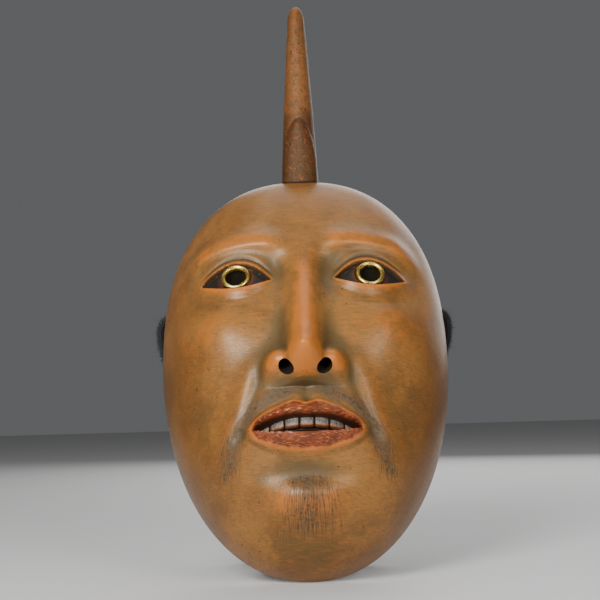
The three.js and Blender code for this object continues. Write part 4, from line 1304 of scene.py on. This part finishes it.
def rounded_corners(corners, middle):
    """Three points for each corner of a loop, which round it off."""
    reach, reach_inset, corner_inset = TIE_CORNER.values()
    points = []
    for k, corner in enumerate(corners):
        inwards = unit(middle - corner)
        back, ahead = (unit(corners[j % 4] - corner) for j in (k - 1, k + 1))
        points += [corner + reach * back + reach_inset * inwards, corner + corner_inset * inwards,
                   corner + reach * ahead + reach_inset * inwards]
    return points


def string_tie(name, side_name, material):
    """Two turns of paper string round the bundle of the coil, with a small knot on top."""
    low, high = COIL["inner"] - TIE["gap"], COIL["outer"] + TIE["gap"]
    top = COIL["height"] + TIE["top"]
    z = TIE["z"]
    corners = np.array([(low, z), (high, z), (high, top), (low, top)])
    loop = rounded_corners(corners, np.array([(low + high) / 2, top / 2]))
    side = SIDES[side_name]
    cx, cy = COIL_PLACE[side_name]
    base = np.array([side * cx, cy - CENTRE_Y, 0])
    outwards = np.array([side * math.cos(TIE["angle"]), math.sin(TIE["angle"]), 0])
    sideways = np.array([-outwards[1], outwards[0], 0])
    upwards = np.array([0, 0, 1])
    path = []
    for k in range(2 * len(loop) + 1):
        r, h = loop[k % len(loop)]
        path.append(base + r * outwards + h * upwards + (k / len(loop) - 1) * TIE["pitch"] * sideways)
    tie = tube(name, smooth_path(path, 0.35), TIE["radius"], material, sides=12, taper=0.3)
    on_top = base + (low + high) / 2 * outwards + (top + 0.5) * upwards
    eight = [on_top + 1.1 * math.cos(a) * sideways + 1.3 / 1.4 * math.sin(2 * a) * outwards
             + 0.3 * math.sin(3 * a) * upwards for a in np.linspace(0.2, 2 * math.pi - 0.2, 60)]
    knot = tube("knot", np.array(eight), TIE["knot_radius"], material, sides=10, taper=0.3)
    return joined(name, [tie, knot])


def joined(name, objects):
    """One object from several."""
    with bpy.context.temp_override(active_object=objects[0], selected_editable_objects=objects):
        bpy.ops.object.join()
    objects[0].name = name
    return objects[0]


def nap(name, path, material, seed):
    """Short loose fibres that stand off a cord's surface."""
    draw = np.random.default_rng(seed)
    tangents = unit(np.gradient(path, axis=0))
    lengths = lengths_along(path)
    count = int(lengths[-1] * math.pi * CORD_DIAMETER * NAP["density"])
    where = draw.uniform(0, lengths[-1], count)
    centre, tangent = (np.stack([np.interp(where, lengths, rows[:, k]) for k in range(3)], axis=1)
                       for rows in (path, tangents))
    outward = unit(np.cross(tangent, draw.normal(size=(count, 3))))
    lean = draw.normal(size=(count, 3)) * 0.45
    reach = draw.uniform(0.5, 1.0, (count, 1)) ** 1.5 * NAP["length"]
    root = centre + outward * (CORD_DIAMETER / 2 - NAP["root"])
    middle = root + (outward + 0.6 * lean) * reach * 0.5
    end = middle + (outward * 0.6 + 1.7 * lean) * reach * 0.5
    across = NAP["half_width"] * unit(np.cross(outward, draw.normal(size=(count, 3))))
    points = np.stack([root - across, root + across, middle + across, middle - across, end], axis=1)
    points[:, :, 2] = np.maximum(points[:, :, 2], 0.05)  # none reaches into the table
    starts = range(0, 5 * count, 5)
    faces = [(k, k + 1, k + 2, k + 3) for k in starts] + [(k + 3, k + 2, k + 4) for k in starts]
    return mesh_object(name, points.reshape(-1, 3), faces, material)


def make_cord(side_name, braid, fibre, paper):
    side = SIDES[side_name]
    knot_start = CORD_START - GAP - KNOT["length"]
    start = [tuple(LEAN_MM @ hole_point(side, a)) for a in (knot_start - 1, CORD_START, CORD_START / 2, 0)]
    route = [(side * x, y - CENTRE_Y, z)
             for x, y, z in ROUND_THE_RIM + TO_THE_COIL[side_name] + coil_points(side_name)]
    middle, direction = end_knot_place(side_name)
    path = smooth_path(start + route + [tuple(middle + (KNOT["length"] / 2 + 1.5) * direction)], 0.8)
    cord = tube(side_name + "_tying_cord", path, CORD_DIAMETER / 2, braid, sides=16, taper=0.4)
    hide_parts(side_name + "_cord", side_name + "_cord_coil")
    end_knot = wrapped_knot(side_name + "_end_knot", middle, direction, braid)
    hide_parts(side_name + "_cord_end_knot")
    knot_middle = LEAN_MM @ hole_point(side, knot_start + KNOT["length"] / 2)
    inwards = LEAN_MM.to_3x3() @ -hole_direction(side)
    stopper = wrapped_knot(side_name + "_stopper_knot", knot_middle, inwards, braid)
    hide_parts(side_name + "_cord_stopper_knot")
    tie = string_tie(side_name + "_paper_tie", side_name, paper)
    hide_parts(side_name + "_coil_tie")
    fuzz = nap(side_name + "_cord_nap", path, fibre, seed=5 + side)
    for piece in (cord, end_knot, stopper, fuzz, tie):
        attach(piece, "mask")


def make_cords():
    braid = braid_material("black_braid", (6, 6, 7), (24, 24, 28))
    fibre = nap_material()
    paper = braid_material("paper_string", (150, 132, 100), (208, 194, 160), pitch=1.6, strands=3)
    for side_name in SIDES:
        make_cord(side_name, braid, fibre, paper)


# ---- wearing pads ---------------------------------------------------------------------------------
PADS = dict(
    forehead_pad=dict(x=0, z=170, half_width=30, half_height=10),
    right_cheek_pad=dict(x=-37, z=84, half_width=10, half_height=14),
    left_cheek_pad=dict(x=37, z=84, half_width=10, half_height=14),
)
PAD_VOXEL = 0.0016  # metres
PAD_BULGE = 0.6  # the furthest that the cloth may move
SEAM = dict(radius=0.6, inset=0.2, up=2.1, step=0.5)
CLOTH_FRAMES = 20
CLOTH_SCALE = 10  # a pad is simulated at the size of a cushion, where cloth settles well


def blown_up(obj):
    """Cloth with a little pressure inside, which rounds and wrinkles the pillow."""
    step = obj.modifiers.new("cloth", "CLOTH")
    settings = step.settings
    settings.quality = 5
    settings.mass = 0.3
    settings.tension_stiffness = settings.compression_stiffness = 20
    settings.bending_stiffness = 0.4
    settings.use_pressure = True
    settings.uniform_pressure_force = 4
    settings.effector_weights.gravity = 0
    step.point_cache.frame_start, step.point_cache.frame_end = 1, CLOTH_FRAMES
    for number in range(1, CLOTH_FRAMES + 1):
        bpy.context.scene.frame_set(number)
    baked(obj)
    bpy.context.scene.frame_set(1)


def pad_outline(pad):
    """The line of the seam round a pad's edge, in the mask's frame."""
    angles = ring_angles(120)
    u, v = (np.sign(wave) * np.abs(wave) ** 0.5 for wave in (np.cos(angles), np.sin(angles)))
    x = pad["x"] + u * (pad["half_width"] - SEAM["inset"])
    z = pad["z"] + v * (0.96 * pad["half_height"] - SEAM["inset"])
    return np.stack([x, -back_depth(x, z) + SEAM["up"], z], axis=1)


def make_pads():
    """Cotton pads with a corded seam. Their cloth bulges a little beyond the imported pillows."""
    cotton = cloth_material()
    piping = braid_material("seam_cord", (120, 104, 76), (196, 182, 150), pitch=1.4, strands=3)
    for name, place in PADS.items():
        pad = link(bpy.data.objects.new(name + "_cotton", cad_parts[name].data.copy()))
        dress(pad, cotton)
        for vertex in pad.data.vertices:
            vertex.co *= CLOTH_SCALE
        step = pad.modifiers.new("remesh", "REMESH")
        step.mode, step.voxel_size = "VOXEL", PAD_VOXEL * CLOTH_SCALE
        baked(pad)
        before = positions(pad)
        blown_up(pad)
        moved = (positions(pad) - before) / CLOTH_SCALE
        far = np.linalg.norm(moved, axis=1)
        moved *= (np.minimum(far, PAD_BULGE) / np.maximum(far, 1e-6))[:, None]
        pad.data.vertices.foreach_set("co", ((before / CLOTH_SCALE + moved) * MM).ravel())
        step = pad.modifiers.new("smooth", "SUBSURF")
        step.levels = 1
        baked(pad)
        dress(pad, cotton)
        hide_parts(name)
        outline = upright(pad_outline(place))
        seam_line = smooth_path(np.concatenate([outline, outline[:1]]), SEAM["step"])
        seam = tube(name + "_seam", seam_line, SEAM["radius"], piping, sides=10)
        for piece in (pad, seam):
            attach(piece, "mask")
        seam.parent = pad
        seam.matrix_parent_inverse = pad.matrix_world.inverted()


# ---- build ----------------------------------------------------------------------------------------
make_cords()
make_shell()
make_hair_strokes()
make_teeth()
make_eye_rings()
make_horn()
make_pads()
